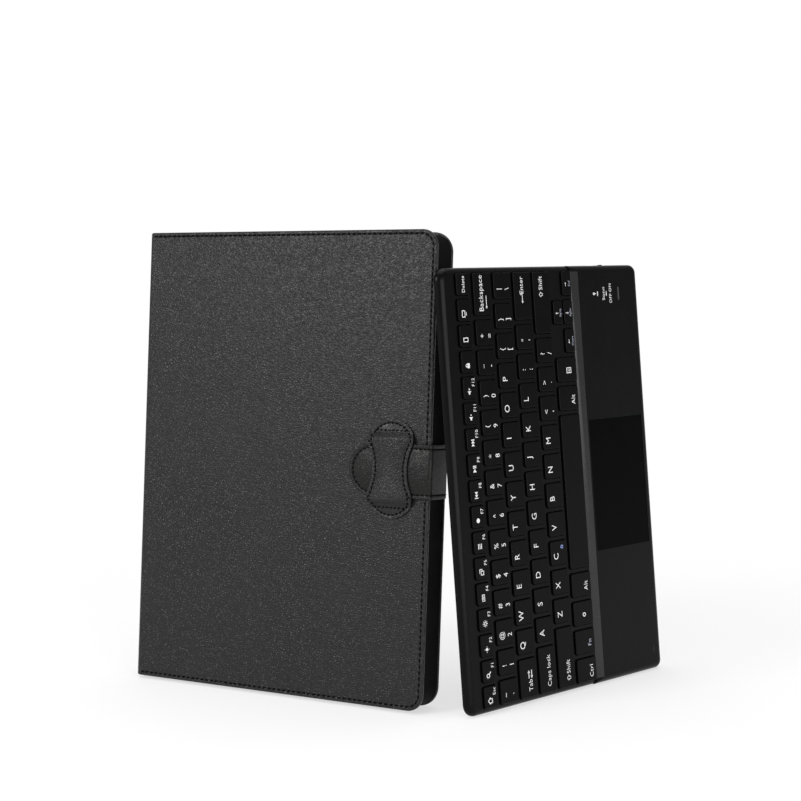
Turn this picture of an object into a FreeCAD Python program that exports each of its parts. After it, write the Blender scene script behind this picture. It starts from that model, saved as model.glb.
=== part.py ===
import FreeCAD, Part
import math
import os

from FreeCAD import Placement, Rotation, Vector

# Leather folio case for a tablet, closed by a strap, with its loose keyboard standing on end beside it.
# All sizes are in millimetres. Both units are modelled lying on their backs and then stood up:
# X runs across the width, Y up the height, and Z out of the front of the cover or the key deck.

# Layers of the two covers and the spine
skin_thickness = 0.8
board_thickness = 1.3
lining_thickness = 0.5
cover_corner_radius = 9.5
back_corner_radius = 11.5
hinge_gap = 0.3

# Tablet tray on the back cover
tablet_length = 252.4
tablet_width = 176.0
tablet_thickness = 6.6
tray_wall = 4.6
tray_floor = 1.0
tray_lip = 0.8
tray_lip_overhang = 1.4
tray_corner_radius = 11.0
tray_end_margin = 1.2
tray_spine_margin = 6.5
tray_edge_margin = 0.3
tray_rim_clearance = 0.3

# Closing strap and the loop that holds its tongue
strap_width = 29.9
strap_below_middle = 0.8
strap_thickness = 1.5
strap_reach = 49.5
strap_root_depth = 12.0
strap_clearance = 0.3
loop_height = 55.2
loop_lobe_width = 30.4
loop_waist_width = 21.4
loop_thickness = 1.0
loop_from_edge = 23.5
loop_foot_length = 6.8
loop_ramp_length = 4.2
loop_shoulder = 12.1
loop_slack_share = 0.8
strap_tip_flat = 0.02

# Keyboard casing
deck_height = 5.0
palm_height = 6.4
deck_thickness = 1.0
floor_thickness = 1.0
shell_wall = 2.4
split_height = 1.8
rear_corner_radius = 7.0
front_corner_radius = 5.0
least_corner = 0.5
edge_round = 4.2
base_round = 0.6
cut_past = 1.0
rear_margin = 11.3
key_margin = 3.4
strip_margin = 0.5
strip_width = 6.0
palm_depth = 54.6
bay_end_margin = 9.8
bay_side_margin = 13.0
bay_clearance = 0.2

# Keys
key_pitch = 16.55
key_gap = 2.85
key_depth = 13.8
row_gap = 2.25
function_key_depth = 10.0
function_key_gap = 2.3
function_row_gap = 2.9
bottom_key_depth = 16.5
arrow_gap = 1.2
first_number_key = 13.1
backspace_key = 23.05
tab_key = 21.7
caps_key = 26.0
shift_key = 34.3
key_corner = 1.2
least_key_corner = 0.2
key_edge = 0.45
key_top_below_palm = 0.2
key_skirt = 2.8
key_wall = 0.9
key_ceiling = 1.0
key_clearance = 0.45
key_travel = 1.2
function_key_count = 17

# Layers below the keys
backplate_thickness = 0.5
membrane_thickness = 0.3
dome_sheet_thickness = 0.3
dome_base_radius = 2.6
dome_top_radius = 1.4
dome_clearance = 0.1
layer_margin = 1.0

# Palm rest and what lies under it
touchpad_start = 77.5
touchpad_length = 76.5
touchpad_inset = 1.0
touchpad_depth = 47.6
touchpad_recess = 0.2
touchpad_border = 2.0
touchpad_clearance = 0.15
touchpad_board_thickness = 1.0
battery_length = 58.0
battery_width = 40.0
battery_thickness = 3.0
battery_inset = 6.0
board_length = 66.0
board_width = 38.0
circuit_thickness = 1.0
board_post_height = 0.8
board_post_radius = 1.5
board_post_inset = 4.0
port_width = 7.6
port_height = 2.6
port_depth = 5.6
port_wall = 0.4
port_setback = 0.4
port_from_strip = 16.0
switch_from_strip = 24.6
switch_knob = 2.6
switch_knob_height = 1.4
switch_travel = 3.0
switch_proud = 0.3
switch_stem = 4.4
slot_clearance = 0.3
light_length = 7.6
light_width = 1.3
light_from_strip = 35.2
light_from_end = 20.8
light_clearance = 0.05
pad_length = 5.0
pad_width = 2.4
pad_from_end = 10.0
pad_from_front = 8.6
pad_proud = 0.1
pad_recess = 0.4

# Feet, screws and magnets
foot_radius = 4.0
foot_proud = 0.4
foot_recess = 0.3
foot_inset = 15.0
screw_head_radius = 1.5
screw_head_height = 0.6
screw_shank_radius = 0.7
screw_bite = 2.4
screw_clearance = 0.02
boss_radius = 2.1
boss_inset = 6.6
boss_end_inset = 20.0
magnet_length = 20.0
magnet_width = 4.0
magnet_thickness = 1.3
magnet_from_end = 40.0
magnet_clearance = 0.05

# How the two units stand
case_lean = 5.0
keyboard_lean = 5.2
keyboard_yaw = 70.95
keyboard_right_of_case = 27.9
keyboard_behind_front = 4.9

# Sizes that follow from the ones above
cover_thickness = skin_thickness + board_thickness + lining_thickness
tray_width = tablet_width + 2 * tray_wall
tray_height = tablet_length + 2 * tray_wall
number_row_start = rear_margin + function_key_depth + function_row_gap
row_pitch = key_depth + row_gap
bottom_row_start = number_row_start + 4 * row_pitch
strip_start = bottom_row_start + bottom_key_depth + strip_margin
strip_end = strip_start + strip_width
keyboard_width = strip_end + palm_depth
key_field = first_number_key + key_gap + 12 * key_pitch + backspace_key
keyboard_length = key_field + 2 * key_margin
keyboard_thickness = palm_height + foot_proud
keyboard_bay = keyboard_thickness + bay_clearance
tray_depth = tray_floor + tablet_thickness + tray_lip + keyboard_bay
case_depth = 2 * cover_thickness + tray_depth + tray_rim_clearance
case_height = max(tray_height + 2 * tray_end_margin, keyboard_length + 2 * bay_end_margin)
case_width = max(tray_spine_margin + tray_width + tray_edge_margin, keyboard_width + 2 * bay_side_margin)
cover_start = cover_thickness + hinge_gap
front_inner = case_depth - cover_thickness
strap_low = (case_height - strap_width) / 2 - strap_below_middle
strap_inner = case_depth + strap_clearance
strap_outer = strap_inner + strap_thickness
strap_side_start = case_width + strap_clearance
strap_side_end = strap_side_start + strap_thickness
key_top = palm_height - key_top_below_palm
deck_under = deck_height - deck_thickness
palm_under = palm_height - deck_thickness
light_start = keyboard_length - light_from_end
circuit_under = palm_under - board_post_height - circuit_thickness


def block(x0, x1, y0, y1, z0, z1):
    """A plain box between two corners."""
    return Part.makeBox(x1 - x0, y1 - y0, z1 - z0, Vector(x0, y0, z0))


def outline(x0, x1, y0, y1, low_left=0.0, low_right=0.0, high_right=0.0, high_left=0.0):
    """A rectangle as a closed wire, with each corner rounded by its own radius."""
    corners = [
        (x0, y0, low_left, 180.0),
        (x1, y0, low_right, 270.0),
        (x1, y1, high_right, 0.0),
        (x0, y1, high_left, 90.0),
    ]
    stops = []
    for x, y, radius, start in corners:
        inward_x = radius if x == x0 else -radius
        inward_y = radius if y == y0 else -radius
        points = []
        for turn in (0.0, 45.0, 90.0):
            angle = math.radians(start + turn)
            points.append(Vector(x + inward_x + radius * math.cos(angle), y + inward_y + radius * math.sin(angle), 0))
        stops.append((radius, points))
    edges = []
    for number, (radius, points) in enumerate(stops):
        if radius > 0:
            edges.append(Part.Arc(*points).toShape())
        following = stops[(number + 1) % 4][1][0]
        edges.append(Part.makeLine(points[2], following))
    return Part.Wire(edges)


def plate(wire, z0, z1):
    """A flat piece of one outline between two heights."""
    face = Part.Face(wire)
    face.translate(Vector(0, 0, z0))
    return face.extrude(Vector(0, 0, z1 - z0))


def edges_at(shape, height):
    """The edges of a shape that lie flat at one height."""
    return [
        edge for edge in shape.Edges
        if abs(edge.BoundBox.ZMin - height) < 1e-6 and abs(edge.BoundBox.ZMax - height) < 1e-6
    ]


def cylinder(radius, x, y, z0, z1):
    """A round post standing along Z."""
    return Part.makeCylinder(radius, z1 - z0, Vector(x, y, z0))


def joined(shapes):
    """One solid from pieces that touch or overlap."""
    return shapes[0].multiFuse(shapes[1:]).removeSplitter()


# The folio case


def cover_outline(corner_radius, inset):
    """A cover's outline: square at the spine, rounded at the fore-edge, drawn in on its three free sides."""
    radius = corner_radius - inset
    return outline(cover_start, case_width - inset, inset, case_height - inset, low_right=radius, high_right=radius)


def cover_layers(outer, inner, corner_radius):
    """Skin with turned edges, board and lining of a cover whose outside lies at one height and inside at another."""
    out = 1 if inner > outer else -1
    skin_inner = outer + out * skin_thickness
    board_inner = skin_inner + out * board_thickness
    filling = cover_outline(corner_radius, skin_thickness)
    skin = plate(cover_outline(corner_radius, 0), outer, inner).cut(plate(filling, skin_inner, inner))
    return skin, plate(filling, skin_inner, board_inner), plate(filling, board_inner, inner)


def spine():
    """Leather sleeve and the board inside it, standing between the two covers."""
    sleeve = block(0, cover_thickness, 0, case_height, 0, case_depth)
    edge = skin_thickness
    hollow = block(edge, edge + board_thickness, edge, case_height - edge, edge, case_depth - edge)
    return sleeve.cut(hollow), hollow


def tablet_tray():
    """Tray that grips the tablet under a thin lip, with a rim above it round the keyboard's bay."""
    def ring(inset):
        x0 = tray_spine_margin
        radius = tray_corner_radius - inset
        y0 = (case_height - tray_height) / 2
        return outline(
            x0 + inset, x0 + tray_width - inset, y0 + inset, y0 + tray_height - inset,
            radius, radius, radius, radius,
        )
    base = cover_thickness
    body = plate(ring(0), base, base + tray_depth)
    lip = base + tray_floor + tablet_thickness
    pocket = plate(ring(tray_wall), base + tray_floor, lip)
    mouth = plate(ring(tray_wall + tray_lip_overhang), base + tray_floor, base + tray_depth)
    bay = plate(ring(tray_wall), lip + tray_lip, base + tray_depth)
    return body.cut(pocket).cut(mouth).cut(bay)


def strap_root():
    """The strap's flat end, sewn between the board and the tray."""
    return block(
        case_width - strap_root_depth, strap_side_end, strap_low, strap_low + strap_width,
        cover_thickness - lining_thickness, cover_thickness,
    )


def strap_side():
    """The strap from its root across the fore-edge to the front corner."""
    side = block(
        strap_side_start, strap_side_end, strap_low, strap_low + strap_width,
        cover_thickness - lining_thickness, strap_outer,
    )
    return joined([side, strap_root()])


def strap_tongue():
    """The strap's free end with its half-round tip, lying on the front cover."""
    radius = (strap_width - strap_tip_flat) / 2
    tip = case_width - strap_reach
    wire = outline(tip, case_width, strap_low, strap_low + strap_width, radius, 0, 0, radius)
    return plate(wire, strap_inner, strap_outer)


def strap_loop():
    """Hourglass patch sewn down at both ends, arched over the strap between them."""
    middle_x = case_width - loop_from_edge
    middle_y = case_height / 2
    lobe = loop_lobe_width / 2
    waist = loop_waist_width / 2
    end = loop_height / 2
    shoulder = end - loop_shoulder
    arcs = [
        ((-lobe, shoulder), (0, end), (lobe, shoulder)),
        ((lobe, shoulder), (waist, 0), (lobe, -shoulder)),
        ((lobe, -shoulder), (0, -end), (-lobe, -shoulder)),
        ((-lobe, -shoulder), (-waist, 0), (-lobe, shoulder)),
    ]
    edges = [
        Part.Arc(*[Vector(middle_x + x, middle_y + y, 0) for x, y in arc]).toShape() for arc in arcs
    ]
    bridge = strap_outer + strap_clearance
    hourglass = plate(Part.Wire(edges), case_depth, bridge + loop_thickness)
    foot = end - loop_foot_length
    crown = foot - loop_ramp_length
    slack = loop_thickness * loop_slack_share
    upper = [
        (-end, loop_thickness), (-foot, loop_thickness), (-crown, bridge - case_depth + loop_thickness),
        (crown, bridge - case_depth + loop_thickness), (foot, loop_thickness), (end, loop_thickness),
    ]
    lower = [
        (end, 0), (foot - slack, 0), (crown - slack, bridge - case_depth),
        (slack - crown, bridge - case_depth), (slack - foot, 0), (-end, 0),
    ]
    points = [Vector(middle_x - lobe, middle_y + y, case_depth + z) for y, z in upper + lower]
    arch = Part.Face(Part.makePolygon(points + points[:1])).extrude(Vector(loop_lobe_width, 0, 0))
    return hourglass.common(arch)


def magnet_centres():
    """Where the magnets sit in the keyboard, as distances along its length and across its width."""
    rear = boss_inset
    front = keyboard_width - boss_inset
    ends = (magnet_from_end, keyboard_length - magnet_from_end)
    return [(along, across) for along in ends for across in (rear, front)]


def magnet(along, across, x, y, z0, grow):
    """A bar magnet, or its seat when grown, for a keyboard whose rear left corner lies at x and y."""
    half_width = magnet_width / 2 + grow
    half_length = magnet_length / 2 + grow
    return block(
        x + across - half_width, x + across + half_width,
        y + along - half_length, y + along + half_length,
        z0, z0 + magnet_thickness,
    )


def build_case():
    """Every piece of the folio case, by name."""
    back_skin, back_board, back_lining = cover_layers(0, cover_thickness, back_corner_radius)
    front_skin, front_board, front_lining = cover_layers(case_depth, front_inner, cover_corner_radius)
    seat = strap_root()
    spine_skin, spine_board = spine()
    keyboard_x = tray_spine_margin + (tray_width - keyboard_width) / 2
    keyboard_y = (case_height - keyboard_length) / 2
    board_low = front_inner + lining_thickness
    magnets = []
    for along, across in magnet_centres():
        magnets.append(magnet(along, across, keyboard_x, keyboard_y, board_low, 0))
        front_board = front_board.cut(magnet(along, across, keyboard_x, keyboard_y, board_low, magnet_clearance))
    return {
        "back_cover_skin": back_skin.cut(seat),
        "back_cover_board": back_board,
        "back_cover_lining": back_lining.cut(seat),
        "tablet_tray": tablet_tray(),
        "strap_side": strap_side(),
        "spine_skin": spine_skin,
        "spine_board": spine_board,
        "front_cover_skin": front_skin,
        "front_cover_board": front_board,
        "front_cover_lining": front_lining,
        "cover_magnets": Part.makeCompound(magnets),
        "strap_loop": strap_loop(),
        "strap_tongue": strap_tongue(),
    }


# The keyboard


def key_layout():
    """Each key as (node, start along the length, length, start across the width, depth)."""
    keys = []
    function_pitch = (key_field + function_key_gap) / function_key_count
    for number in range(function_key_count):
        start = key_margin + number * function_pitch
        keys.append(("function_keys", start, function_pitch - function_key_gap, rear_margin, function_key_depth))
    rows = [
        ("number_keys", first_number_key, [("number_keys", 12)], "number_keys"),
        ("command_keys", tab_key, [("qwertyuiop", 10), ("symbol_keys", 2)], "symbol_keys"),
        ("command_keys", caps_key, [("asdfghjkl", 9), ("symbol_keys", 2)], "command_keys"),
        ("command_keys", shift_key, [("zxcvbnm", 7), ("symbol_keys", 3)], "command_keys"),
    ]
    field_end = key_margin + key_field
    for number, (first, first_length, middle, last) in enumerate(rows):
        across = number_row_start + number * row_pitch
        keys.append((first, key_margin, first_length, across, key_depth))
        start = key_margin + first_length + key_gap
        for kind, count in middle:
            for place in range(count):
                node = kind if "_" in kind else "key_" + kind[place]
                keys.append((node, start, key_pitch - key_gap, across, key_depth))
                start += key_pitch
        keys.append((last, start, field_end - start, across, key_depth))
    across = bottom_row_start
    cap = key_pitch - key_gap
    for place in range(4):
        keys.append(("command_keys", key_margin + place * key_pitch, cap, across, bottom_key_depth))
    space_start = key_margin + 4 * key_pitch
    right = [field_end - cap - place * key_pitch for place in range(5)]
    keys.append(("space_key", space_start, right[4] - key_gap - space_start, across, bottom_key_depth))
    for start in right[3:]:
        keys.append(("command_keys", start, cap, across, bottom_key_depth))
    half = (bottom_key_depth - arrow_gap) / 2
    lower = across + half + arrow_gap
    for start in right[:3]:
        keys.append(("command_keys", start, cap, lower, half))
    keys.append(("command_keys", right[1], cap, across, half))
    return keys


def key_cap(start, length, across, depth):
    """A hollow key cap with softened top edges."""
    def ring(inset):
        radius = max(key_corner - inset, least_key_corner)
        return outline(across + inset, across + depth - inset, start + inset, start + length - inset,
                       radius, radius, radius, radius)
    cap = plate(ring(0), key_top - key_skirt, key_top)
    cap = cap.makeFillet(key_edge, edges_at(cap, key_top))
    return cap.cut(plate(ring(key_wall), key_top - key_skirt, key_top - key_ceiling))


def slab(height):
    """The keyboard's outline raised to one height, with a soft upper edge all round."""
    wire = outline(
        0, keyboard_width, 0, keyboard_length,
        rear_corner_radius, front_corner_radius, front_corner_radius, rear_corner_radius,
    )
    body = plate(wire, 0, height)
    body = body.makeFillet(edge_round, edges_at(body, height))
    return body.makeFillet(base_round, edges_at(body, 0))


def prism(profile, y0, y1):
    """A profile of (x, z) points run along the keyboard's length."""
    points = [Vector(x, y0, z) for x, z in profile]
    return Part.Face(Part.makePolygon(points + points[:1])).extrude(Vector(0, y1 - y0, 0))


def casing():
    """The keyboard's outer form: a low key deck, a sloping strip and a raised palm rest."""
    slope = strip_width / (palm_height - deck_height)
    past = cut_past
    wedge = prism(
        [
            (strip_start, deck_height), (strip_end + past * slope, palm_height + past),
            (keyboard_width + past, palm_height + past), (keyboard_width + past, -past), (strip_start, -past),
        ],
        -past, keyboard_length + past,
    )
    return joined([slab(deck_height), slab(palm_height).common(wedge)])


def cavity():
    """The space inside the casing, lower under the keys than under the palm rest."""
    wall = shell_wall
    rear = max(rear_corner_radius - wall, least_corner)
    front = max(front_corner_radius - wall, least_corner)
    x1 = keyboard_width - wall
    y1 = keyboard_length - wall
    low = plate(outline(wall, x1, wall, y1, rear, front, front, rear), floor_thickness, deck_under)
    high = plate(outline(strip_end + deck_thickness, x1, wall, y1, 0, front, front, 0), deck_under, palm_under)
    return joined([low, high])


def boss_centres():
    """Where the casing screws sit, as distances along the length and across the width."""
    ends = (boss_end_inset, keyboard_length - boss_end_inset)
    rows = (boss_inset, keyboard_width - boss_inset)
    middle = keyboard_length / 2
    return [(along, across) for along in ends for across in rows] + [(middle, boss_inset)]


def port_span():
    """The charging port's outer box at the right-hand end."""
    across = strip_end + port_from_strip
    end = keyboard_length - port_setback
    return (across - port_width / 2, across + port_width / 2, end - port_depth, end,
            circuit_under - port_height, circuit_under)


def switch_span(travel_low, travel_high, grow):
    """The switch knob's box at the right-hand end, stretched over a travel and grown by a clearance."""
    across = strip_end + switch_from_strip
    middle = circuit_under - port_height / 2
    half = switch_knob_height / 2
    return (across + travel_low - switch_knob / 2 - grow, across + travel_high + switch_knob / 2 + grow,
            keyboard_length - switch_stem, keyboard_length + switch_proud, middle - half - grow, middle + half + grow)


def foot_centres():
    """Where the rubber feet sit, as distances along the length and across the width."""
    ends = (foot_inset, keyboard_length - foot_inset)
    return [(along, across) for along in ends for across in (foot_inset, keyboard_width - foot_inset)]


def touchpad_span(grow):
    """The touchpad's outline, grown by a clearance or a border."""
    across = strip_end + touchpad_inset
    return (across - grow, across + touchpad_depth + grow,
            touchpad_start - grow, touchpad_start + touchpad_length + grow)


def pad_span(z0, z1):
    """The small rubber pad's box near the front left corner of the palm rest."""
    across = keyboard_width - pad_from_front
    return block(across - pad_width / 2, across + pad_width / 2, pad_from_end, pad_from_end + pad_length, z0, z1)


def light_span(z0, z1, grow):
    """The status light's box near the right-hand end of the palm rest."""
    across = strip_end + light_from_strip
    return block(across - light_width / 2 - grow, across + light_width / 2 + grow,
                 light_start - grow, light_start + light_length + grow, z0, z1)


def board_span():
    """The main board's outline, under the right-hand end of the palm rest."""
    across = strip_end + deck_thickness + board_post_inset
    end = keyboard_length - shell_wall - slot_clearance
    return across, across + board_width, end - board_length, end


def build_shells():
    """The keyboard's base and its upper frame, with every hole and seat cut."""
    body = casing()
    inside = cavity()
    past = cut_past
    below = block(-past, keyboard_width + past, -past, keyboard_length + past, -past, split_height)
    base = body.common(below).cut(inside)
    frame = body.cut(below).cut(inside)
    bosses = []
    heads = []
    for along, across in boss_centres():
        under = palm_under if across > strip_end else deck_under
        post = cylinder(boss_radius, across, along, floor_thickness, under)
        bosses.append(post)
        heads.append(cylinder(screw_shank_radius + screw_clearance, across, along,
                              0, floor_thickness + screw_bite))
        heads.append(cylinder(screw_head_radius + screw_clearance, across, along, 0, screw_head_height))
    x0, x1, y0, y1 = board_span()
    for x in (x0 + board_post_inset, x1 - board_post_inset):
        for y in (y0 + board_post_inset, y1 - board_post_inset):
            bosses.append(cylinder(board_post_radius, x, y, circuit_under + circuit_thickness, palm_under))
    frame = joined([frame] + bosses)
    holes = []
    for node, start, length, across, depth in key_layout():
        radius = key_corner + key_clearance
        wire = outline(
            across - key_clearance, across + depth + key_clearance,
            start - key_clearance, start + length + key_clearance, radius, radius, radius, radius,
        )
        holes.append(plate(wire, deck_under, palm_height))
    x0, x1, y0, y1 = touchpad_span(touchpad_clearance)
    holes.append(block(x0, x1, y0, y1, palm_under, palm_height))
    holes.append(light_span(palm_under, palm_height, light_clearance))
    holes.append(pad_span(palm_height - pad_recess, palm_height))
    x0, x1, y0, y1, z0, z1 = port_span()
    holes.append(block(x0, x1, y0, keyboard_length, z0, z1))
    slot = switch_span(0, switch_travel, slot_clearance)
    holes.append(block(*slot))
    frame = frame.cut(Part.makeCompound(holes + heads))
    recesses = [cylinder(foot_radius, across, along, 0, foot_recess) for along, across in foot_centres()]
    base = base.cut(Part.makeCompound(recesses + heads + holes[-2:]))
    return base, frame


def layer(z0, thickness):
    """A flat sheet that covers the floor under all the keys."""
    edge = shell_wall + layer_margin
    rear = rear_margin - layer_margin
    return block(rear, strip_start, edge, keyboard_length - edge, z0, z0 + thickness)


def build_keyboard():
    """Every piece of the keyboard, by name."""
    base, frame = build_shells()
    membrane_low = floor_thickness + backplate_thickness
    sheet_low = membrane_low + membrane_thickness
    sheet_high = sheet_low + dome_sheet_thickness
    dome_top = key_top - key_ceiling - key_travel - dome_clearance
    caps = {}
    domes = []
    for node, start, length, across, depth in key_layout():
        caps.setdefault(node, []).append(key_cap(start, length, across, depth))
        spot = Vector(across + depth / 2, start + length / 2, sheet_high)
        domes.append(Part.makeCone(dome_base_radius, dome_top_radius, dome_top - sheet_high, spot))
    pieces = {
        "keyboard_base": base,
        "keyboard_frame": frame,
        "key_backplate": layer(floor_thickness, backplate_thickness),
        "key_membrane": layer(membrane_low, membrane_thickness),
        "dome_sheet": joined([layer(sheet_low, dome_sheet_thickness)] + domes),
    }
    for node, shapes in caps.items():
        pieces[node] = shapes[0] if len(shapes) == 1 else Part.makeCompound(shapes)
    x0, x1, y0, y1 = touchpad_span(0)
    pieces["touchpad_plate"] = block(x0, x1, y0, y1, palm_under, palm_height - touchpad_recess)
    x0, x1, y0, y1 = touchpad_span(touchpad_border)
    x0 = max(x0, strip_end + deck_thickness)
    pieces["touchpad_board"] = block(x0, x1, y0, y1, palm_under - touchpad_board_thickness, palm_under)
    x0 = strip_end + deck_thickness + battery_inset / 2
    y0 = shell_wall + battery_inset
    pieces["battery_cell"] = block(
        x0, x0 + battery_width, y0, y0 + battery_length, floor_thickness, floor_thickness + battery_thickness
    )
    x0, x1, y0, y1 = board_span()
    pieces["main_board"] = block(x0, x1, y0, y1, circuit_under, circuit_under + circuit_thickness)
    x0, x1, y0, y1, z0, z1 = port_span()
    mouth = block(x0 + port_wall, x1 - port_wall, y0 + port_wall, y1, z0 + port_wall, z1 - port_wall)
    pieces["charging_port"] = block(x0, x1, y0, y1, z0, z1).cut(mouth)
    pieces["power_switch"] = block(*switch_span(0, 0, 0))
    pieces["status_light"] = light_span(circuit_under + circuit_thickness, palm_height, 0)
    pieces["corner_pad"] = pad_span(palm_height - pad_recess, palm_height + pad_proud)
    feet = [cylinder(foot_radius, across, along, -foot_proud, foot_recess) for along, across in foot_centres()]
    pieces["rubber_feet"] = Part.makeCompound(feet)
    screws = []
    for along, across in boss_centres():
        head = cylinder(screw_head_radius, across, along, 0, screw_head_height)
        shank = cylinder(screw_shank_radius, across, along, 0, floor_thickness + screw_bite)
        screws.append(joined([head, shank]))
    pieces["case_screws"] = Part.makeCompound(screws)
    bars = [magnet(along, across, 0, 0, floor_thickness, 0) for along, across in magnet_centres()]
    pieces["keyboard_magnets"] = Part.makeCompound(bars)
    return pieces


# Standing the two units up


def stood(lean, yaw, at):
    """Placement that stands a flat unit on its lower end, leaning back, turned about the vertical."""
    upright = Rotation(Vector(1, 0, 0), 90 - lean)
    turned = Rotation(Vector(0, 0, 1), yaw)
    return Placement(at, turned.multiply(upright))


def extents(pieces, placement):
    """The least box round some pieces once they are placed."""
    box = FreeCAD.BoundBox()
    for shape in pieces.values():
        box.add(shape.copy().transformed(placement.toMatrix()).optimalBoundingBox(False, False))
    return box


def stand_units(case_pieces, keyboard_pieces):
    """Placements of the case and the keyboard, with the origin under the middle of the pair."""
    case_front = Vector(case_width, case_depth * math.cos(math.radians(case_lean)), 0)
    case_place = stood(case_lean, 0, Vector(0, case_front.y, 0))
    corner = stood(keyboard_lean, keyboard_yaw, Vector(0, 0, 0)).multVec(Vector(0, 0, palm_height))
    spot = Vector(case_front.x + keyboard_right_of_case, keyboard_behind_front, 0)
    keyboard_place = stood(keyboard_lean, keyboard_yaw, Vector(spot.x - corner.x, spot.y - corner.y, 0))
    case_box = extents(case_pieces, case_place)
    keyboard_box = extents(keyboard_pieces, keyboard_place)
    keyboard_place.Base.z -= keyboard_box.ZMin
    case_place.Base.z -= case_box.ZMin
    both = FreeCAD.BoundBox(case_box)
    both.add(keyboard_box)
    for place in (case_place, keyboard_place):
        place.Base.x -= both.Center.x
        place.Base.y -= both.Center.y
    return case_place, keyboard_place


case_pieces = build_case()
keyboard_pieces = build_keyboard()
case_place, keyboard_place = stand_units(case_pieces, keyboard_pieces)

os.makedirs("parts", exist_ok=True)
for pieces, place in ((case_pieces, case_place), (keyboard_pieces, keyboard_place)):
    for name, shape in pieces.items():
        placed = shape.copy().transformed(place.toMatrix())
        placed.exportStep("parts/" + name + ".step")
print(len(case_pieces) + len(keyboard_pieces), "pieces")
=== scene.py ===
"""Dresses the tablet case and its loose keyboard, and sets them in a plain studio.

Sizes are in millimetres in the flat frame of each unit: X across the width, Y up the height and Z out of
the front of the cover or the key deck. A Stand takes them to the row frame, in metres.
"""

import logging
import math
from collections import defaultdict
from dataclasses import dataclass, field
from enum import Enum
from typing import Iterable, Sequence

import bmesh
import bpy
from bmesh.types import BMesh, BMFace
from mathutils import Matrix, Vector

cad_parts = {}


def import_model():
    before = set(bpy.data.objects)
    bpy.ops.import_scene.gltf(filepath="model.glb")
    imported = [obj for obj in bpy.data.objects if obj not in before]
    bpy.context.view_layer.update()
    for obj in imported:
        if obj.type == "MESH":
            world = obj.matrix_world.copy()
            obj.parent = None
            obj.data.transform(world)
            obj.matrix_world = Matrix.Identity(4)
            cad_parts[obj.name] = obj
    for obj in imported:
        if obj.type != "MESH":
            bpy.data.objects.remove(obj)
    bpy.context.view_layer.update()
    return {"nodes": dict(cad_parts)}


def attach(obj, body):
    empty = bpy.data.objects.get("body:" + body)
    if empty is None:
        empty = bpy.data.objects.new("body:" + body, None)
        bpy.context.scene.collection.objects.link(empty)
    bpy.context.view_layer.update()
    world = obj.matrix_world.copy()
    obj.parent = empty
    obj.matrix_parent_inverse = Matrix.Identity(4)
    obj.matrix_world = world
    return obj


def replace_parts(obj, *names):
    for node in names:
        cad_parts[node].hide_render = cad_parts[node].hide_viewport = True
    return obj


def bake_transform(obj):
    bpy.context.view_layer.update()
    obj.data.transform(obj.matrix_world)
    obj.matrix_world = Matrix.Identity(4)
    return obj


LOG = logging.getLogger("tablet_case")
MM = 0.001
TOUCH = 1e-4
FACING = 0.5
MERGE = 0.01
FOLD_STEP = 9.0
STITCH_SHARP = 60.0
MOTTLE_SPAN = (0.3, 0.7)
Point = tuple[float, float]
Colour = tuple[float, float, float]
Tree = bpy.types.NodeTree
Thing = bpy.types.Object


def feed(tree: Tree, node: bpy.types.Node, inputs: dict[int | str, object]) -> bpy.types.Node:
    """Fills the inputs of a node.

    Args:
        tree: The node's tree.
        node: The node.
        inputs: What each input takes: an output to link, or a plain value.

    Returns:
        The same node.
    """
    for key, value in inputs.items():
        if isinstance(value, bpy.types.NodeSocket):
            tree.links.new(value, node.inputs[key])
        else:
            node.inputs[key].default_value = value
    return node


def add_node(tree: Tree, kind: str, inputs: dict[int | str, object], **settings: object) -> bpy.types.Node:
    """Adds a node to a tree.

    Args:
        tree: Where the node goes.
        kind: The node's type, without its common first part.
        inputs: What each input takes: an output to link, or a plain value.
        settings: The node's own settings.

    Returns:
        The node.
    """
    node = tree.nodes.new("ShaderNode" + kind)
    for name, value in settings.items():
        setattr(node, name, value)
    return feed(tree, node, inputs)


def mesh_from(bm: BMesh, name: str) -> bpy.types.Mesh:
    """Writes a mesh out of its editing form, which is freed."""
    mesh = bpy.data.meshes.new(name)
    bm.to_mesh(mesh)
    bm.free()
    return mesh


def place_object(name: str, data: object) -> Thing:
    """Makes an object of some data and puts it in the scene."""
    made = bpy.data.objects.new(name, data)
    bpy.context.scene.collection.objects.link(made)
    return made


@dataclass(frozen=True)
class Stand:
    """Where a unit that is drawn lying flat stands in the row frame.

    Args:
        at: Place of the unit's corner, in millimetres.
        lean: How far the unit leans back, in degrees.
        yaw: How far it is turned about the vertical, in degrees.
    """

    at: tuple[float, float, float]
    lean: float
    yaw: float

    @property
    def matrix(self) -> Matrix:
        """The move from flat millimetres to metres in the row frame."""
        turned = Matrix.Rotation(math.radians(self.yaw), 4, "Z")
        upright = Matrix.Rotation(math.radians(90.0 - self.lean), 4, "X")
        return Matrix.Translation(Vector(self.at) * MM) @ turned @ upright @ Matrix.Scale(MM, 4)

    def point(self, x: float, y: float, z: float) -> Vector:
        """A flat point in the row frame."""
        return self.matrix @ Vector((x, y, z))


CASE_STAND = Stand((-136.26863, -64.585, 0.0), 5.0, 0.0)
KEYBOARD_STAND = Stand((77.60677, -78.42515, -0.05191), 5.2, 70.95)


class Grain(Enum):
    """The fine surface that a finish is given."""

    PEBBLE = "pebble_grain"
    MOULDED = "moulded_grain"
    NAP = "nap_grain"
    BRUSHED = "brushed_grain"
    TWIST = "twist_grain"


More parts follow.
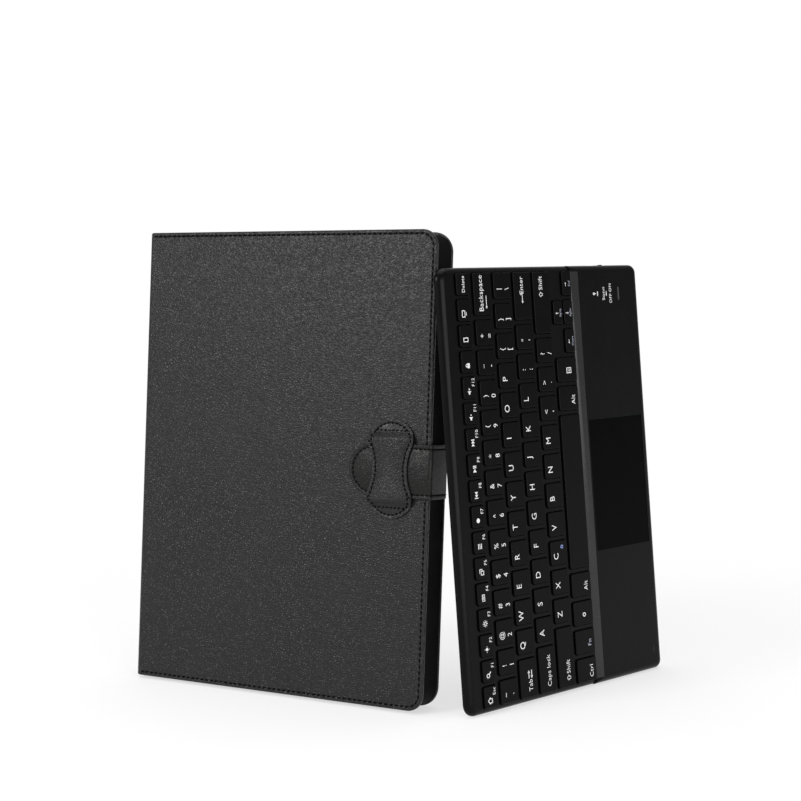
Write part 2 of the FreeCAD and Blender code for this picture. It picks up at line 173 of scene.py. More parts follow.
class GrainGroups:
    """Shader node groups for the grains, each built once and placed in many materials."""

    def __init__(self) -> None:
        """Builds every group."""
        self.trees = {kind: getattr(self, "_" + kind.name.lower())(self._blank(kind)) for kind in Grain}

    @staticmethod
    def _blank(kind: Grain) -> Tree:
        """Makes an empty group with the sockets that all grains share.

        Args:
            kind: The grain that names the group.

        Returns:
            The group's node tree.
        """
        tree = bpy.data.node_groups.new(kind.value, "ShaderNodeTree")
        sockets = (
            ("Vector", "INPUT", "Vector"), ("Scale", "INPUT", "Float"),
            ("Height", "OUTPUT", "Float"), ("Mottle", "OUTPUT", "Float"),
        )
        for name, way, holds in sockets:
            tree.interface.new_socket(name, in_out=way, socket_type="NodeSocket" + holds)
        tree.nodes.new("NodeGroupInput").name = "in"
        tree.nodes.new("NodeGroupOutput").name = "out"
        return tree

    @staticmethod
    def _maths(tree: Tree, work: str, first: object, second: object) -> bpy.types.NodeSocket:
        """Adds a Math node of two inputs, each an output or a number, and gives its output."""
        return add_node(tree, "Math", {0: first, 1: second}, operation=work).outputs[0]

    def _noise(self, tree: Tree, share: float, detail: float, vector: object = None) -> bpy.types.Node:
        """Adds a Noise texture whose scale is a share of the group's own.

        Args:
            tree: Where the node goes.
            share: Part of the group's Scale.
            detail: Noise detail.
            vector: Socket to read, or None for the group's Vector.

        Returns:
            The noise node.
        """
        given = tree.nodes["in"].outputs
        scale = self._maths(tree, "MULTIPLY", given["Scale"], share)
        inputs = {"Vector": vector or given["Vector"], "Scale": scale, "Detail": detail}
        return add_node(tree, "TexNoise", inputs)

    def _close(self, tree: Tree, height: object, mottle: object) -> Tree:
        """Wires a group's two outputs and gives the group back."""
        feed(tree, tree.nodes["out"], {"Height": height, "Mottle": mottle})
        return tree

    def _stretched(self, tree: Tree, by: tuple[float, float, float]) -> bpy.types.NodeSocket:
        """The group's Vector, scaled differently along each axis."""
        inputs = {0: tree.nodes["in"].outputs["Vector"], 1: by}
        return add_node(tree, "VectorMath", inputs, operation="MULTIPLY").outputs[0]

    def _pebble(self, tree: Tree) -> Tree:
        """Rounded pebbles of uneven size between fine creases, as on embossed leather."""
        given = tree.nodes["in"].outputs
        warp_reach = (0.0016, 0.0016, 0.0016)
        crease_width = 0.42
        fine_share = 0.06
        warp = self._noise(tree, share=0.45, detail=2.0).outputs["Color"]
        inputs = {0: warp, 1: warp_reach, 2: given["Vector"]}
        shift = add_node(tree, "VectorMath", inputs, operation="MULTIPLY_ADD").outputs[0]
        inputs = {"Vector": shift, "Scale": given["Scale"]}
        cells = add_node(tree, "TexVoronoi", inputs, feature="DISTANCE_TO_EDGE").outputs["Distance"]
        inputs = {"Value": cells, "From Max": crease_width}
        dome = add_node(tree, "MapRange", inputs, interpolation_type="SMOOTHSTEP").outputs[0]
        swell = self._noise(tree, share=0.5, detail=3.0).outputs[0]
        height = self._maths(tree, "MULTIPLY", dome, swell)
        fine = self._maths(tree, "MULTIPLY", self._noise(tree, share=3.0, detail=2.0).outputs[0], fine_share)
        height = self._maths(tree, "ADD", height, fine)
        broad = self._noise(tree, share=0.03, detail=3.0).outputs[0]
        mottle = self._maths(tree, "MULTIPLY", self._maths(tree, "ADD", broad, swell), 0.5)
        return self._close(tree, height, mottle)

    def _moulded(self, tree: Tree) -> Tree:
        """Even spark-eroded texture of moulded plastic."""
        height = self._noise(tree, share=1.0, detail=3.0).outputs[0]
        return self._close(tree, height, self._noise(tree, share=0.02, detail=4.0).outputs[0])

    def _nap(self, tree: Tree) -> Tree:
        """Short suede fibres with brushed patches."""
        along = self._stretched(tree, by=(1.0, 0.6, 0.35))
        fibres = self._noise(tree, share=1.0, detail=4.0, vector=along).outputs[0]
        return self._close(tree, fibres, self._noise(tree, share=0.04, detail=3.0).outputs[0])

    def _brushed(self, tree: Tree) -> Tree:
        """Fine lines along one direction."""
        along = self._stretched(tree, by=(1.0, 1.0, 0.05))
        lines = self._noise(tree, share=1.0, detail=3.0, vector=along).outputs[0]
        return self._close(tree, lines, self._noise(tree, share=0.05, detail=3.0).outputs[0])

    def _twist(self, tree: Tree) -> Tree:
        """Turned strands of a sewing thread."""
        given = tree.nodes["in"].outputs
        inputs = {"Vector": given["Vector"], "Scale": given["Scale"], "Distortion": 0.6}
        wave = add_node(tree, "TexWave", inputs, bands_direction="DIAGONAL")
        return self._close(tree, wave.outputs["Fac"], self._noise(tree, share=0.4, detail=2.0).outputs[0])


@dataclass(frozen=True)
class Finish:
    """One finish, as numbers for a Principled material.

    Args:
        name: The material's name.
        colour: Linear base colour.
        tint: Second colour that the mottle mixes in.
        roughness: Least and greatest roughness.
        grain: Which grain shapes the surface.
        scale: Grains per metre.
        relief: Height of the grain, in metres.
        strength: How much of the relief shows.
        specular: Specular level.
        metallic: 1 for bare metal.
        sheen: Weight of the fuzz on cloth.
        coat: Weight of a clear coat.
    """

    name: str
    colour: Colour
    tint: Colour
    roughness: tuple[float, float]
    grain: Grain
    scale: float
    relief: float
    strength: float = 0.6
    specular: float = 0.3
    metallic: float = 0.0
    sheen: float = 0.0
    coat: float = 0.0

    def material(self, grains: GrainGroups) -> bpy.types.Material:
        """Builds the material.

        Args:
            grains: The grain groups to place in it.

        Returns:
            The finished material.
        """
        made = bpy.data.materials.new(self.name)
        made.use_nodes = True
        tree = made.node_tree
        place = add_node(tree, "TexCoord", {}).outputs["Object"]
        inputs = {"Vector": place, "Scale": self.scale}
        grain = add_node(tree, "Group", inputs, node_tree=grains.trees[self.grain]).outputs
        inputs = {0: grain["Mottle"], 6: (*self.colour, 1.0), 7: (*self.tint, 1.0)}
        colour = add_node(tree, "Mix", inputs, data_type="RGBA").outputs[2]
        inputs = {"Value": grain["Mottle"], "From Min": MOTTLE_SPAN[0], "From Max": MOTTLE_SPAN[1]}
        inputs |= {"To Min": self.roughness[0], "To Max": self.roughness[1]}
        gloss = add_node(tree, "MapRange", inputs).outputs[0]
        inputs = {"Height": grain["Height"], "Strength": self.strength, "Distance": self.relief}
        bump = add_node(tree, "Bump", inputs).outputs[0]
        feed(tree, tree.nodes["Principled BSDF"], {
            "Specular IOR Level": self.specular, "Metallic": self.metallic, "Sheen Weight": self.sheen,
            "Coat Weight": self.coat, "Base Color": colour, "Roughness": gloss, "Normal": bump,
        })
        return made


def grey(level: float, blue: float = 0.0) -> Colour:
    """A near-neutral linear colour with a little blue added."""
    return level, level, level + blue


FINISHES = (
    Finish("black_leather", grey(0.005, 0.0003), grey(0.009, 0.0005), (0.32, 0.4),
           Grain.PEBBLE, 820.0, 0.00026, 1.0, 0.3),
    Finish("strap_leather", grey(0.004), (0.009, 0.008, 0.0072), (0.34, 0.42),
           Grain.PEBBLE, 820.0, 0.0002, 1.0, 0.2),
    Finish("thread", grey(0.0015), grey(0.003), (0.6, 0.75), Grain.TWIST, 1500.0, 0.0001, 0.5, 0.05),
    Finish("suede_lining", grey(0.018), grey(0.034), (0.85, 1.0),
           Grain.NAP, 2600.0, 0.0002, 0.7, 0.1, sheen=0.35),
    Finish("cover_board", grey(0.2), grey(0.14), (0.8, 0.95), Grain.NAP, 1500.0, 0.0001, 0.5, 0.2),
    Finish("tray_plastic", grey(0.0036), grey(0.006), (0.5, 0.65), Grain.MOULDED, 3000.0, 0.00003, 0.5, 0.01),
    Finish("shell_plastic", grey(0.0016), grey(0.0024), (0.24, 0.3),
           Grain.MOULDED, 3200.0, 0.00001, 0.4, 0.1),
    Finish("key_plastic", grey(0.0016), grey(0.0024), (0.24, 0.3), Grain.MOULDED, 4200.0, 0.00001, 0.4, 0.08),
    Finish("slope_strip", grey(0.012), grey(0.017), (0.24, 0.3), Grain.MOULDED, 3200.0, 0.00001, 0.3, 0.38),
    Finish("touchpad_film", grey(0.001), grey(0.0015), (0.2, 0.26),
           Grain.MOULDED, 4200.0, 0.00001, 0.3, 0.03),
    Finish("rubber", grey(0.008), grey(0.013), (0.75, 0.9), Grain.MOULDED, 2200.0, 0.00005, 0.5, 0.2),
    Finish("steel", grey(0.52), grey(0.62), (0.25, 0.38),
           Grain.BRUSHED, 3000.0, 0.00002, 0.4, 0.5, metallic=1.0),
    Finish("circuit_board", (0.01, 0.07, 0.025), (0.02, 0.12, 0.04), (0.3, 0.5),
           Grain.MOULDED, 900.0, 0.00006, 0.5),
    Finish("membrane_film", grey(0.5), grey(0.42), (0.2, 0.35), Grain.MOULDED, 900.0, 0.00003, 0.4, 0.5),
    Finish("battery_pouch", grey(0.4), grey(0.3), (0.25, 0.45),
           Grain.MOULDED, 700.0, 0.00008, 0.5, 0.5, metallic=0.7),
    Finish("light_lens", grey(0.03), grey(0.04), (0.15, 0.25),
           Grain.MOULDED, 2500.0, 0.00002, 0.3, 0.5, coat=0.3),
    Finish("white_ink", grey(0.8), grey(0.72), (0.5, 0.65), Grain.MOULDED, 5000.0, 0.00001, 0.3, 0.3),
    Finish("pale_ink", (0.34, 0.36, 0.43), (0.38, 0.4, 0.47), (0.5, 0.65),
           Grain.MOULDED, 5000.0, 0.00001, 0.3, 0.3),
    Finish("blue_ink", (0.27, 0.35, 0.7), (0.3, 0.39, 0.74), (0.5, 0.65),
           Grain.MOULDED, 5000.0, 0.00001, 0.3, 0.3),
)


class Workshop:
    """Holds the materials and turns finished meshes into pieces."""

    def __init__(self) -> None:
        """Builds every material."""
        grains = GrainGroups()
        self.materials = {finish.name: finish.material(grains) for finish in FINISHES}

    def piece(
        self, bm: BMesh, name: str, stand: Stand, finish: str, slot: str = "", sharp: float = 26.0,
    ) -> Thing:
        """Stands a flat mesh up and makes it an object at the origin.

        Args:
            bm: The mesh in flat millimetres; it is freed.
            name: The piece's name.
            stand: How the unit stands.
            finish: The finish's name.
            slot: Not used.
            sharp: Edges sharper than this, in degrees, stay crisp.

        Returns:
            The new object.
        """
        bmesh.ops.transform(bm, matrix=stand.matrix, verts=bm.verts)
        mesh = mesh_from(bm, name)
        mesh.shade_smooth()
        mesh.set_sharp_from_angle(angle=math.radians(sharp))
        mesh.materials.append(self.materials[finish])
        made = place_object(name, mesh)
        LOG.info("%s: %d faces", name, len(mesh.polygons))
        return made

    def dress(self, nodes: dict[str, Thing], finish: str, names: Iterable[str]) -> None:
        """Gives a finish to solids that are kept as they are.

        Args:
            nodes: The solids' objects by name.
            finish: The finish's name.
            names: Which solids.
        """
        for name in names:
            for slot in nodes[name].material_slots:
                slot.material = self.materials[finish]


class Mesher:
    """Small modelling steps that several pieces share."""

    @staticmethod
    def sheet(corners: Sequence[Point], radii: Sequence[float], steps: int = 12) -> BMesh:
        """A flat face with each corner rounded by its own radius.

        Args:
            corners: The corners in order, counter-clockwise.
            radii: One radius for each corner; 0 leaves it square.
            steps: Segments in each rounding.

        Returns:
            A mesh that holds the one face.
        """
        bm = bmesh.new()
        verts = [bm.verts.new((x, y, 0.0)) for x, y in corners]
        bm.faces.new(verts)
        for vert, radius in zip(verts, radii):
            if radius > 0.0:
                bmesh.ops.bevel(
                    bm, geom=[vert], offset=radius, offset_type="OFFSET", segments=steps,
                    profile=0.5, affect="VERTICES", material=-1,
                )
        bmesh.ops.remove_doubles(bm, verts=bm.verts, dist=MERGE)
        return bm

    @staticmethod
    def arc(middle: Vector, radius: float, first: float, last: float, steps: int) -> list[Vector]:
        """Points along an arc.

        Args:
            middle: The arc's centre.
            radius: Its radius.
            first: Where it starts, in degrees.
            last: Where it ends, in degrees.
            steps: Number of stretches between the points.

        Returns:
            The points in order.
        """
        angles = [math.radians(first + (last - first) * step / steps) for step in range(steps + 1)]
        return [middle + radius * Vector((math.cos(angle), math.sin(angle), 0.0)) for angle in angles]

    @staticmethod
    def top(bm: BMesh) -> BMFace:
        """The largest face that looks up."""
        bm.normal_update()
        return max((face for face in bm.faces if face.normal.z > FACING), key=lambda face: face.calc_area())

    @staticmethod
    def thicken(bm: BMesh, depth: float) -> None:
        """Gives flat faces a depth below them."""
        faces = list(bm.faces)
        grown = bmesh.ops.extrude_face_region(bm, geom=faces, use_keep_orig=True)["geom"]
        verts = [part for part in grown if isinstance(part, bmesh.types.BMVert)]
        bmesh.ops.translate(bm, vec=(0.0, 0.0, -depth), verts=verts)
        bmesh.ops.recalc_face_normals(bm, faces=bm.faces)

    @staticmethod
    def roll(bm: BMesh, height: float, radius: float, steps: int = 6) -> None:
        """Rounds the border of a slab at one height.

        Args:
            bm: The slab.
            height: Where the border lies.
            radius: Radius of the rounding.
            steps: Segments in the rounding.
        """
        bm.normal_update()
        border = [
            edge for edge in bm.edges
            if all(abs(vert.co.z - height) < TOUCH for vert in edge.verts)
            and any(abs(face.normal.z) < FACING for face in edge.link_faces)
        ]
        bmesh.ops.bevel(
            bm, geom=border, offset=radius, offset_type="OFFSET", segments=steps,
            profile=0.5, affect="EDGES", material=-1, clamp_overlap=True,
        )

    @staticmethod
    def cut(bm: BMesh, at: Sequence[float], normal: Sequence[float], drop: bool = False) -> None:
        """Cuts a mesh along a plane.

        Args:
            bm: The mesh.
            at: A point on the plane.
            normal: The plane's normal.
            drop: Whether the side behind the plane goes, and the cut is closed.
        """
        geom = bm.verts[:] + bm.edges[:] + bm.faces[:]
        bmesh.ops.bisect_plane(bm, geom=geom, dist=TOUCH, plane_co=at, plane_no=normal, clear_inner=drop)
        if drop:
            bmesh.ops.holes_fill(bm, edges=[edge for edge in bm.edges if edge.is_boundary])


@dataclass(frozen=True)
class Seam:
    """A line of sewing in a pressed groove along an edge.

    Args:
        inset: Distance from the edge to the line.
        groove_width: The groove's width.
        groove_depth: The groove's depth.
        pitch: Distance from one stitch to the next.
        length: A stitch's length.
        width: The thread's width.
        sink: How deep the thread lies, as a share of the groove's depth.
        rise: Half the thread's height, as a share of its width.
        slant: How far each stitch is turned from the line, in degrees.
    """

    inset: float
    groove_width: float
    groove_depth: float
    pitch: float
    length: float
    width: float
    sink: float
    rise: float = 0.42
    slant: float = 14.0

    def press(self, bm: BMesh, edge_radius: float) -> None:
        """Presses the groove into the largest face that looks up, all round its border.

        Args:
            bm: The mesh.
            edge_radius: Rounding of the edge, which the face stops short of.
        """
        half = self.groove_width / 2
        margin = self.inset - edge_radius - half
        face = Mesher.top(bm)
        for thickness, depth in ((margin, 0.0), (half, -self.groove_depth), (half, self.groove_depth)):
            bmesh.ops.inset_region(
                bm, faces=[face], thickness=thickness, depth=depth,
                use_even_offset=True, use_boundary=True,
            )

    def places(self, points: Sequence[Vector]) -> list[tuple[Vector, float]]:
        """Where the stitches lie along a line of points.

        Args:
            points: The line.

        Returns:
            Each place with the line's heading there, in radians.
        """
        places = []
        spare = self.pitch / 2
        for start, end in zip(points, points[1:]):
            gone = spare
            length = (end - start).length
            heading = math.atan2(end.y - start.y, end.x - start.x)
            while gone < length:
                places.append((start.lerp(end, gone / length), heading))
                gone += self.pitch
            spare = gone - length
        return places

    def sew(self, places: Iterable[tuple[Vector, float]]) -> BMesh:
        """Makes the stitches, one small grain of thread at each place.

        Args:
            places: Where each stitch lies on the leather, and its heading.

        Returns:
            A mesh of all the stitches, sunk into the groove.
        """
        bm = bmesh.new()
        sink = Vector((0.0, 0.0, self.groove_depth * self.sink))
        size = Matrix.Diagonal((self.length / 2, self.width / 2, self.width * self.rise, 1.0))
        for spot, heading in places:
            turn = Matrix.Rotation(heading + math.radians(self.slant), 4, "Z")
            matrix = Matrix.Translation(spot - sink) @ turn @ size
            bmesh.ops.create_uvsphere(bm, u_segments=8, v_segments=5, radius=1.0, matrix=matrix)
        return bm


@dataclass(frozen=True)
class Fold:
    """A straight run of leather, and the turn that follows it.

    Args:
        run: Length of the straight run.
        radius: Outer radius of the turn.
        turn: The turn's angle in degrees; 0 ends the strip.
    """

    run: float
    radius: float = 0.0
    turn: float = 0.0


@dataclass(frozen=True)
class FoldedPath:
    """The outer line of a strip of leather that lies in straight runs and turns.

    Args:
        start: Where the strip begins, as X and Z.
        heading: The first run's heading in degrees, with the outside on its right.
        folds: The runs and turns in order.
    """

    start: Point
    heading: float
    folds: tuple[Fold, ...]

    def cuts(self) -> list[float]:
        """Distances along the strip where it needs an edge to bend."""
        found = []
        gone = 0.0
        for fold in self.folds:
            gone += fold.run
            arc = fold.radius * math.radians(fold.turn)
            steps = round(fold.turn / FOLD_STEP)
            found += [gone + arc * step / steps for step in range(steps + 1)] if steps else []
            gone += arc
        return found

    def place(self, along: float, depth: float) -> Point:
        """Where a point of the flat strip lies once it is folded.

        Args:
            along: Distance along the strip's outside.
            depth: Distance below the outside.

        Returns:
            The point as X and Z.
        """
        x, z = self.start
        heading = math.radians(self.heading)
        left = along
        for number, fold in enumerate(self.folds):
            last = number == len(self.folds) - 1
            step = left if last else min(left, fold.run)
            x += step * math.cos(heading)
            z += step * math.sin(heading)
            left -= step
            arc = fold.radius * math.radians(fold.turn)
            if last or left <= 0.0:
                break
            swing = min(left, arc) / fold.radius
            x += fold.radius * (math.sin(heading + swing) - math.sin(heading))
            z += fold.radius * (math.cos(heading) - math.cos(heading + swing))
            heading += swing
            left -= min(left, arc)
        return x - depth * math.sin(heading), z + depth * math.cos(heading)


class Side(Enum):
    """Which cover of the folio."""

    FRONT = "front"
    BACK = "back"


@dataclass
class LeatherCovers:
    """The two leather covers, each folded round to the middle of the spine, with lining and sewing."""

    shop: Workshop
    height: float = 264.0
    width: float = 192.0
    depth: float = 20.9
    thickness: float = 2.45
    lining_thickness: float = 0.5
    lining_proud: float = 0.15
    lining_inset: float = 1.3
    fold_radius: float = 2.9
    edge_radius: float = 1.0
    inner_roll: float = 0.6
    lining_roll: float = 0.9
    bend_share: Point = (0.17, 0.84)
    spare: float = 12.0
    seam: Seam = Seam(
        inset=2.3, groove_width=1.3, groove_depth=0.35, pitch=3.3, length=2.3, width=1.2, sink=0.6,
    )
    corner_radius: dict[Side, float] = field(default_factory=lambda: {Side.FRONT: 9.5, Side.BACK: 11.5})

    def path(self) -> FoldedPath:
        """The outer line of the front cover from the fore-edge to the middle of the spine."""
        radius = self.fold_radius
        folds = (Fold(self.width - radius, radius, 90.0), Fold(self.depth / 2 - radius))
        return FoldedPath((self.width, self.depth), 180.0, folds)

    def build(self) -> None:
        """Makes both covers with their linings and sewing."""
        for side in Side:
            self.cover(side)
            self.lining(side)
            self.sewing(side)

    def turned(self, bm: BMesh, side: Side) -> BMesh:
        """Turns a mesh made for the front cover to the back where that is wanted.

        Args:
            bm: A mesh in the case's frame.
            side: The cover.

        Returns:
            The same mesh, with its faces looking outwards.
        """
        if side is Side.BACK:
            flip = Matrix.Translation((0.0, 0.0, self.depth)) @ Matrix.Diagonal((1.0, 1.0, -1.0, 1.0))
            bmesh.ops.transform(bm, matrix=flip, verts=bm.verts)
        bmesh.ops.recalc_face_normals(bm, faces=bm.faces)
        return bm

    def cover(self, side: Side) -> Thing:
        """Makes one cover: a slab with rolled edges and a sewn groove, folded round the spine.

        Args:
            side: The cover.

        Returns:
            The piece.
        """
        path = self.path()
        end = path.folds[0].run + self.fold_radius * math.pi / 2 + path.folds[1].run
        radius = self.corner_radius[side]
        corners = [(0.0, 0.0), (end + self.spare, 0.0), (end + self.spare, self.height), (0.0, self.height)]
        bm = Mesher.sheet(corners, (radius, 0.0, 0.0, radius))
        Mesher.thicken(bm, self.thickness)
        Mesher.roll(bm, 0.0, self.edge_radius)
        Mesher.roll(bm, -self.thickness, self.edge_radius * self.inner_roll)
        self.seam.press(bm, self.edge_radius)
        Mesher.cut(bm, (end, 0.0, 0.0), (-1.0, 0.0, 0.0), drop=True)
        for along in path.cuts():
            Mesher.cut(bm, (along, 0.0, 0.0), (1.0, 0.0, 0.0))
        for vert in bm.verts:
            x, z = path.place(vert.co.x, -vert.co.z)
            vert.co = (x, vert.co.y, z)
        body = side.value + "_cover"
        bm = self.turned(bm, side)
        made = self.shop.piece(bm, body + "_leather", CASE_STAND, "black_leather", "leather")
        ends = []
        for right, below in (self.bend_share, (1.0, 0.0)):
            below *= self.fold_radius
            level = self.depth - below if side is Side.FRONT else below
            ends.append(CASE_STAND.point(self.fold_radius * right, self.height / 2, level))
        ends[0]
        ends[1]
        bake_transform(made)
        skins = [body + "_skin"] + (["spine_skin"] if side is Side.FRONT else [])
        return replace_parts(made, *skins)

    def lining(self, side: Side) -> Thing:
        """Makes the suede that lies on the inside of one cover.

        Args:
            side: The cover.

        Returns:
            The piece.
        """
        inset = self.lining_inset
        start = self.fold_radius + inset
        radius = self.corner_radius[side] - inset
        top = self.height - inset
        corners = [(start, inset), (self.width - inset, inset), (self.width - inset, top), (start, top)]
        bm = Mesher.sheet(corners, (0.0, radius, radius, 0.0))
        Mesher.thicken(bm, self.lining_thickness)
        Mesher.roll(bm, -self.lining_thickness, self.lining_proud * self.lining_roll, steps=3)
        inner = self.depth - self.thickness - self.lining_proud
        bmesh.ops.translate(bm, vec=(0.0, 0.0, inner + self.lining_thickness), verts=bm.verts)
        body = side.value + "_cover"
        made = self.shop.piece(self.turned(bm, side), body + "_suede", CASE_STAND, "suede_lining", "lining")
        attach(made, body)
        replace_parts(made, body + "_lining")
        return made

    def seam_line(self, side: Side) -> list[Vector]:
        """The line of the sewing round three sides of a cover, as points on its outside."""
        inset = self.seam.inset
        radius = self.corner_radius[side] - inset
        points = [Vector((self.fold_radius, inset, self.depth))]
        for y, first in ((inset + radius, -90.0), (self.height - inset - radius, 0.0)):
            middle = Vector((self.width - inset - radius, y, self.depth))
            points += Mesher.arc(middle, radius, first, first + 90.0, steps=9)
        return points + [Vector((self.fold_radius, self.height - inset, self.depth))]

    def sewing(self, side: Side) -> Thing:
        """Sews round three sides of a cover.

        Args:
            side: The cover.

        Returns:
            The piece that holds all the stitches.
        """
        bm = self.seam.sew(self.seam.places(self.seam_line(side)))
        name = side.value + "_cover_stitches"
        made = self.shop.piece(self.turned(bm, side), name, CASE_STAND, "thread", "leather", STITCH_SHARP)
        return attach(made, side.value + "_cover")


@dataclass
class ClosingStrap:
    """The strap across the fore-edge, with its free tongue."""

    shop: Workshop
    low: float = 116.25
    breadth: float = 29.9
    thickness: float = 1.5
    root_start: float = 188.0
    root_level: float = 2.1
    outside: float = 193.8
    front: float = 22.7
    tip: float = 142.5
    root_radius: float = 1.6
    corner_radius: float = 2.2
    root_thinning: float = 0.35
    bend_inset: float = 1.3
    bend_length: float = 7.0
    bend_slant: float = 2.0
    edge_radius: float = 0.55
    inner_roll: float = 0.8
    seam: Seam = Seam(
        inset=2.4, groove_width=1.3, groove_depth=0.3, pitch=2.7, length=2.2, width=1.0, sink=0.5,
    )

    def path(self) -> FoldedPath:
        """The strap's outer line from its root, across the fore-edge, to the tongue's tip."""
        rise = self.front - self.root_level - self.root_radius - self.corner_radius
        folds = (
            Fold(self.outside - self.root_radius - self.root_start, self.root_radius, 90.0),
            Fold(rise, self.corner_radius, 90.0),
            Fold(self.outside - self.corner_radius - self.tip),
        )
        return FoldedPath((self.root_start, self.root_level), 0.0, folds)

    def length(self) -> float:
        """The strap's whole length along its outside."""
        return sum(fold.run + fold.radius * math.radians(fold.turn) for fold in self.path().folds)

    def folded(self, bm: BMesh) -> BMesh:
        """Folds a mesh that was made along the flat strap into place.

        Args:
            bm: A mesh with X along the strap and Z up from its outside.

        Returns:
            The same mesh.
        """
        path = self.path()
        first = path.folds[0]
        bend = first.run + first.radius * math.pi / 2
        for vert in bm.verts:
            share = min(max(vert.co.x / bend, 0.0), 1.0)
            depth = -vert.co.z * (self.root_thinning + (1.0 - self.root_thinning) * share)
            x, z = path.place(vert.co.x, depth)
            vert.co = (x, vert.co.y, z)
        bmesh.ops.recalc_face_normals(bm, faces=bm.faces)
        return bm

    def build(self) -> None:
        """Makes the strap and its sewing as two pieces, folded along the same line."""
        end = self.length()
        high = self.low + self.breadth
        round_tip = self.breadth / 2 - TOUCH
        corners = [(0.0, self.low), (end, self.low), (end, high), (0.0, high)]
        bm = Mesher.sheet(corners, (0.0, round_tip, round_tip, 0.0), steps=16)
        Mesher.thicken(bm, self.thickness)
        Mesher.roll(bm, 0.0, self.edge_radius, steps=5)
        Mesher.roll(bm, -self.thickness, self.edge_radius * self.inner_roll, steps=4)
        self.seam.press(bm, self.edge_radius)
        for along in self.path().cuts():
            Mesher.cut(bm, (along, 0.0, 0.0), (1.0, 0.0, 0.0))
        strap = self.shop.piece(self.folded(bm), "closing_strap", CASE_STAND, "strap_leather", "leather")
        self.bend(strap)
        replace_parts(strap, "strap_side", "strap_tongue")
        bm = self.seam.sew(self.seam.places(self.seam_line()))
        bm = self.folded(bm)
        self.bend(self.shop.piece(bm, "strap_stitches", CASE_STAND, "thread", "leather", STITCH_SHARP))

    def seam_line(self) -> list[Vector]:
        """The line of the sewing along the flat strap, round its tip and back."""
        inset = self.seam.inset
        radius = self.breadth / 2
        root = self.path().folds[0].run
        middle = Vector((self.length() - radius, self.low + radius, 0.0))
        points = [Vector((root, self.low + inset, 0.0))]
        points += Mesher.arc(middle, radius - inset, -90.0, 90.0, steps=12)
        return points + [Vector((root, self.low + self.breadth - inset, 0.0))]

    def bend(self, made: Thing) -> None:
        """Bakes the piece's placement into its mesh."""
        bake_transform(made)


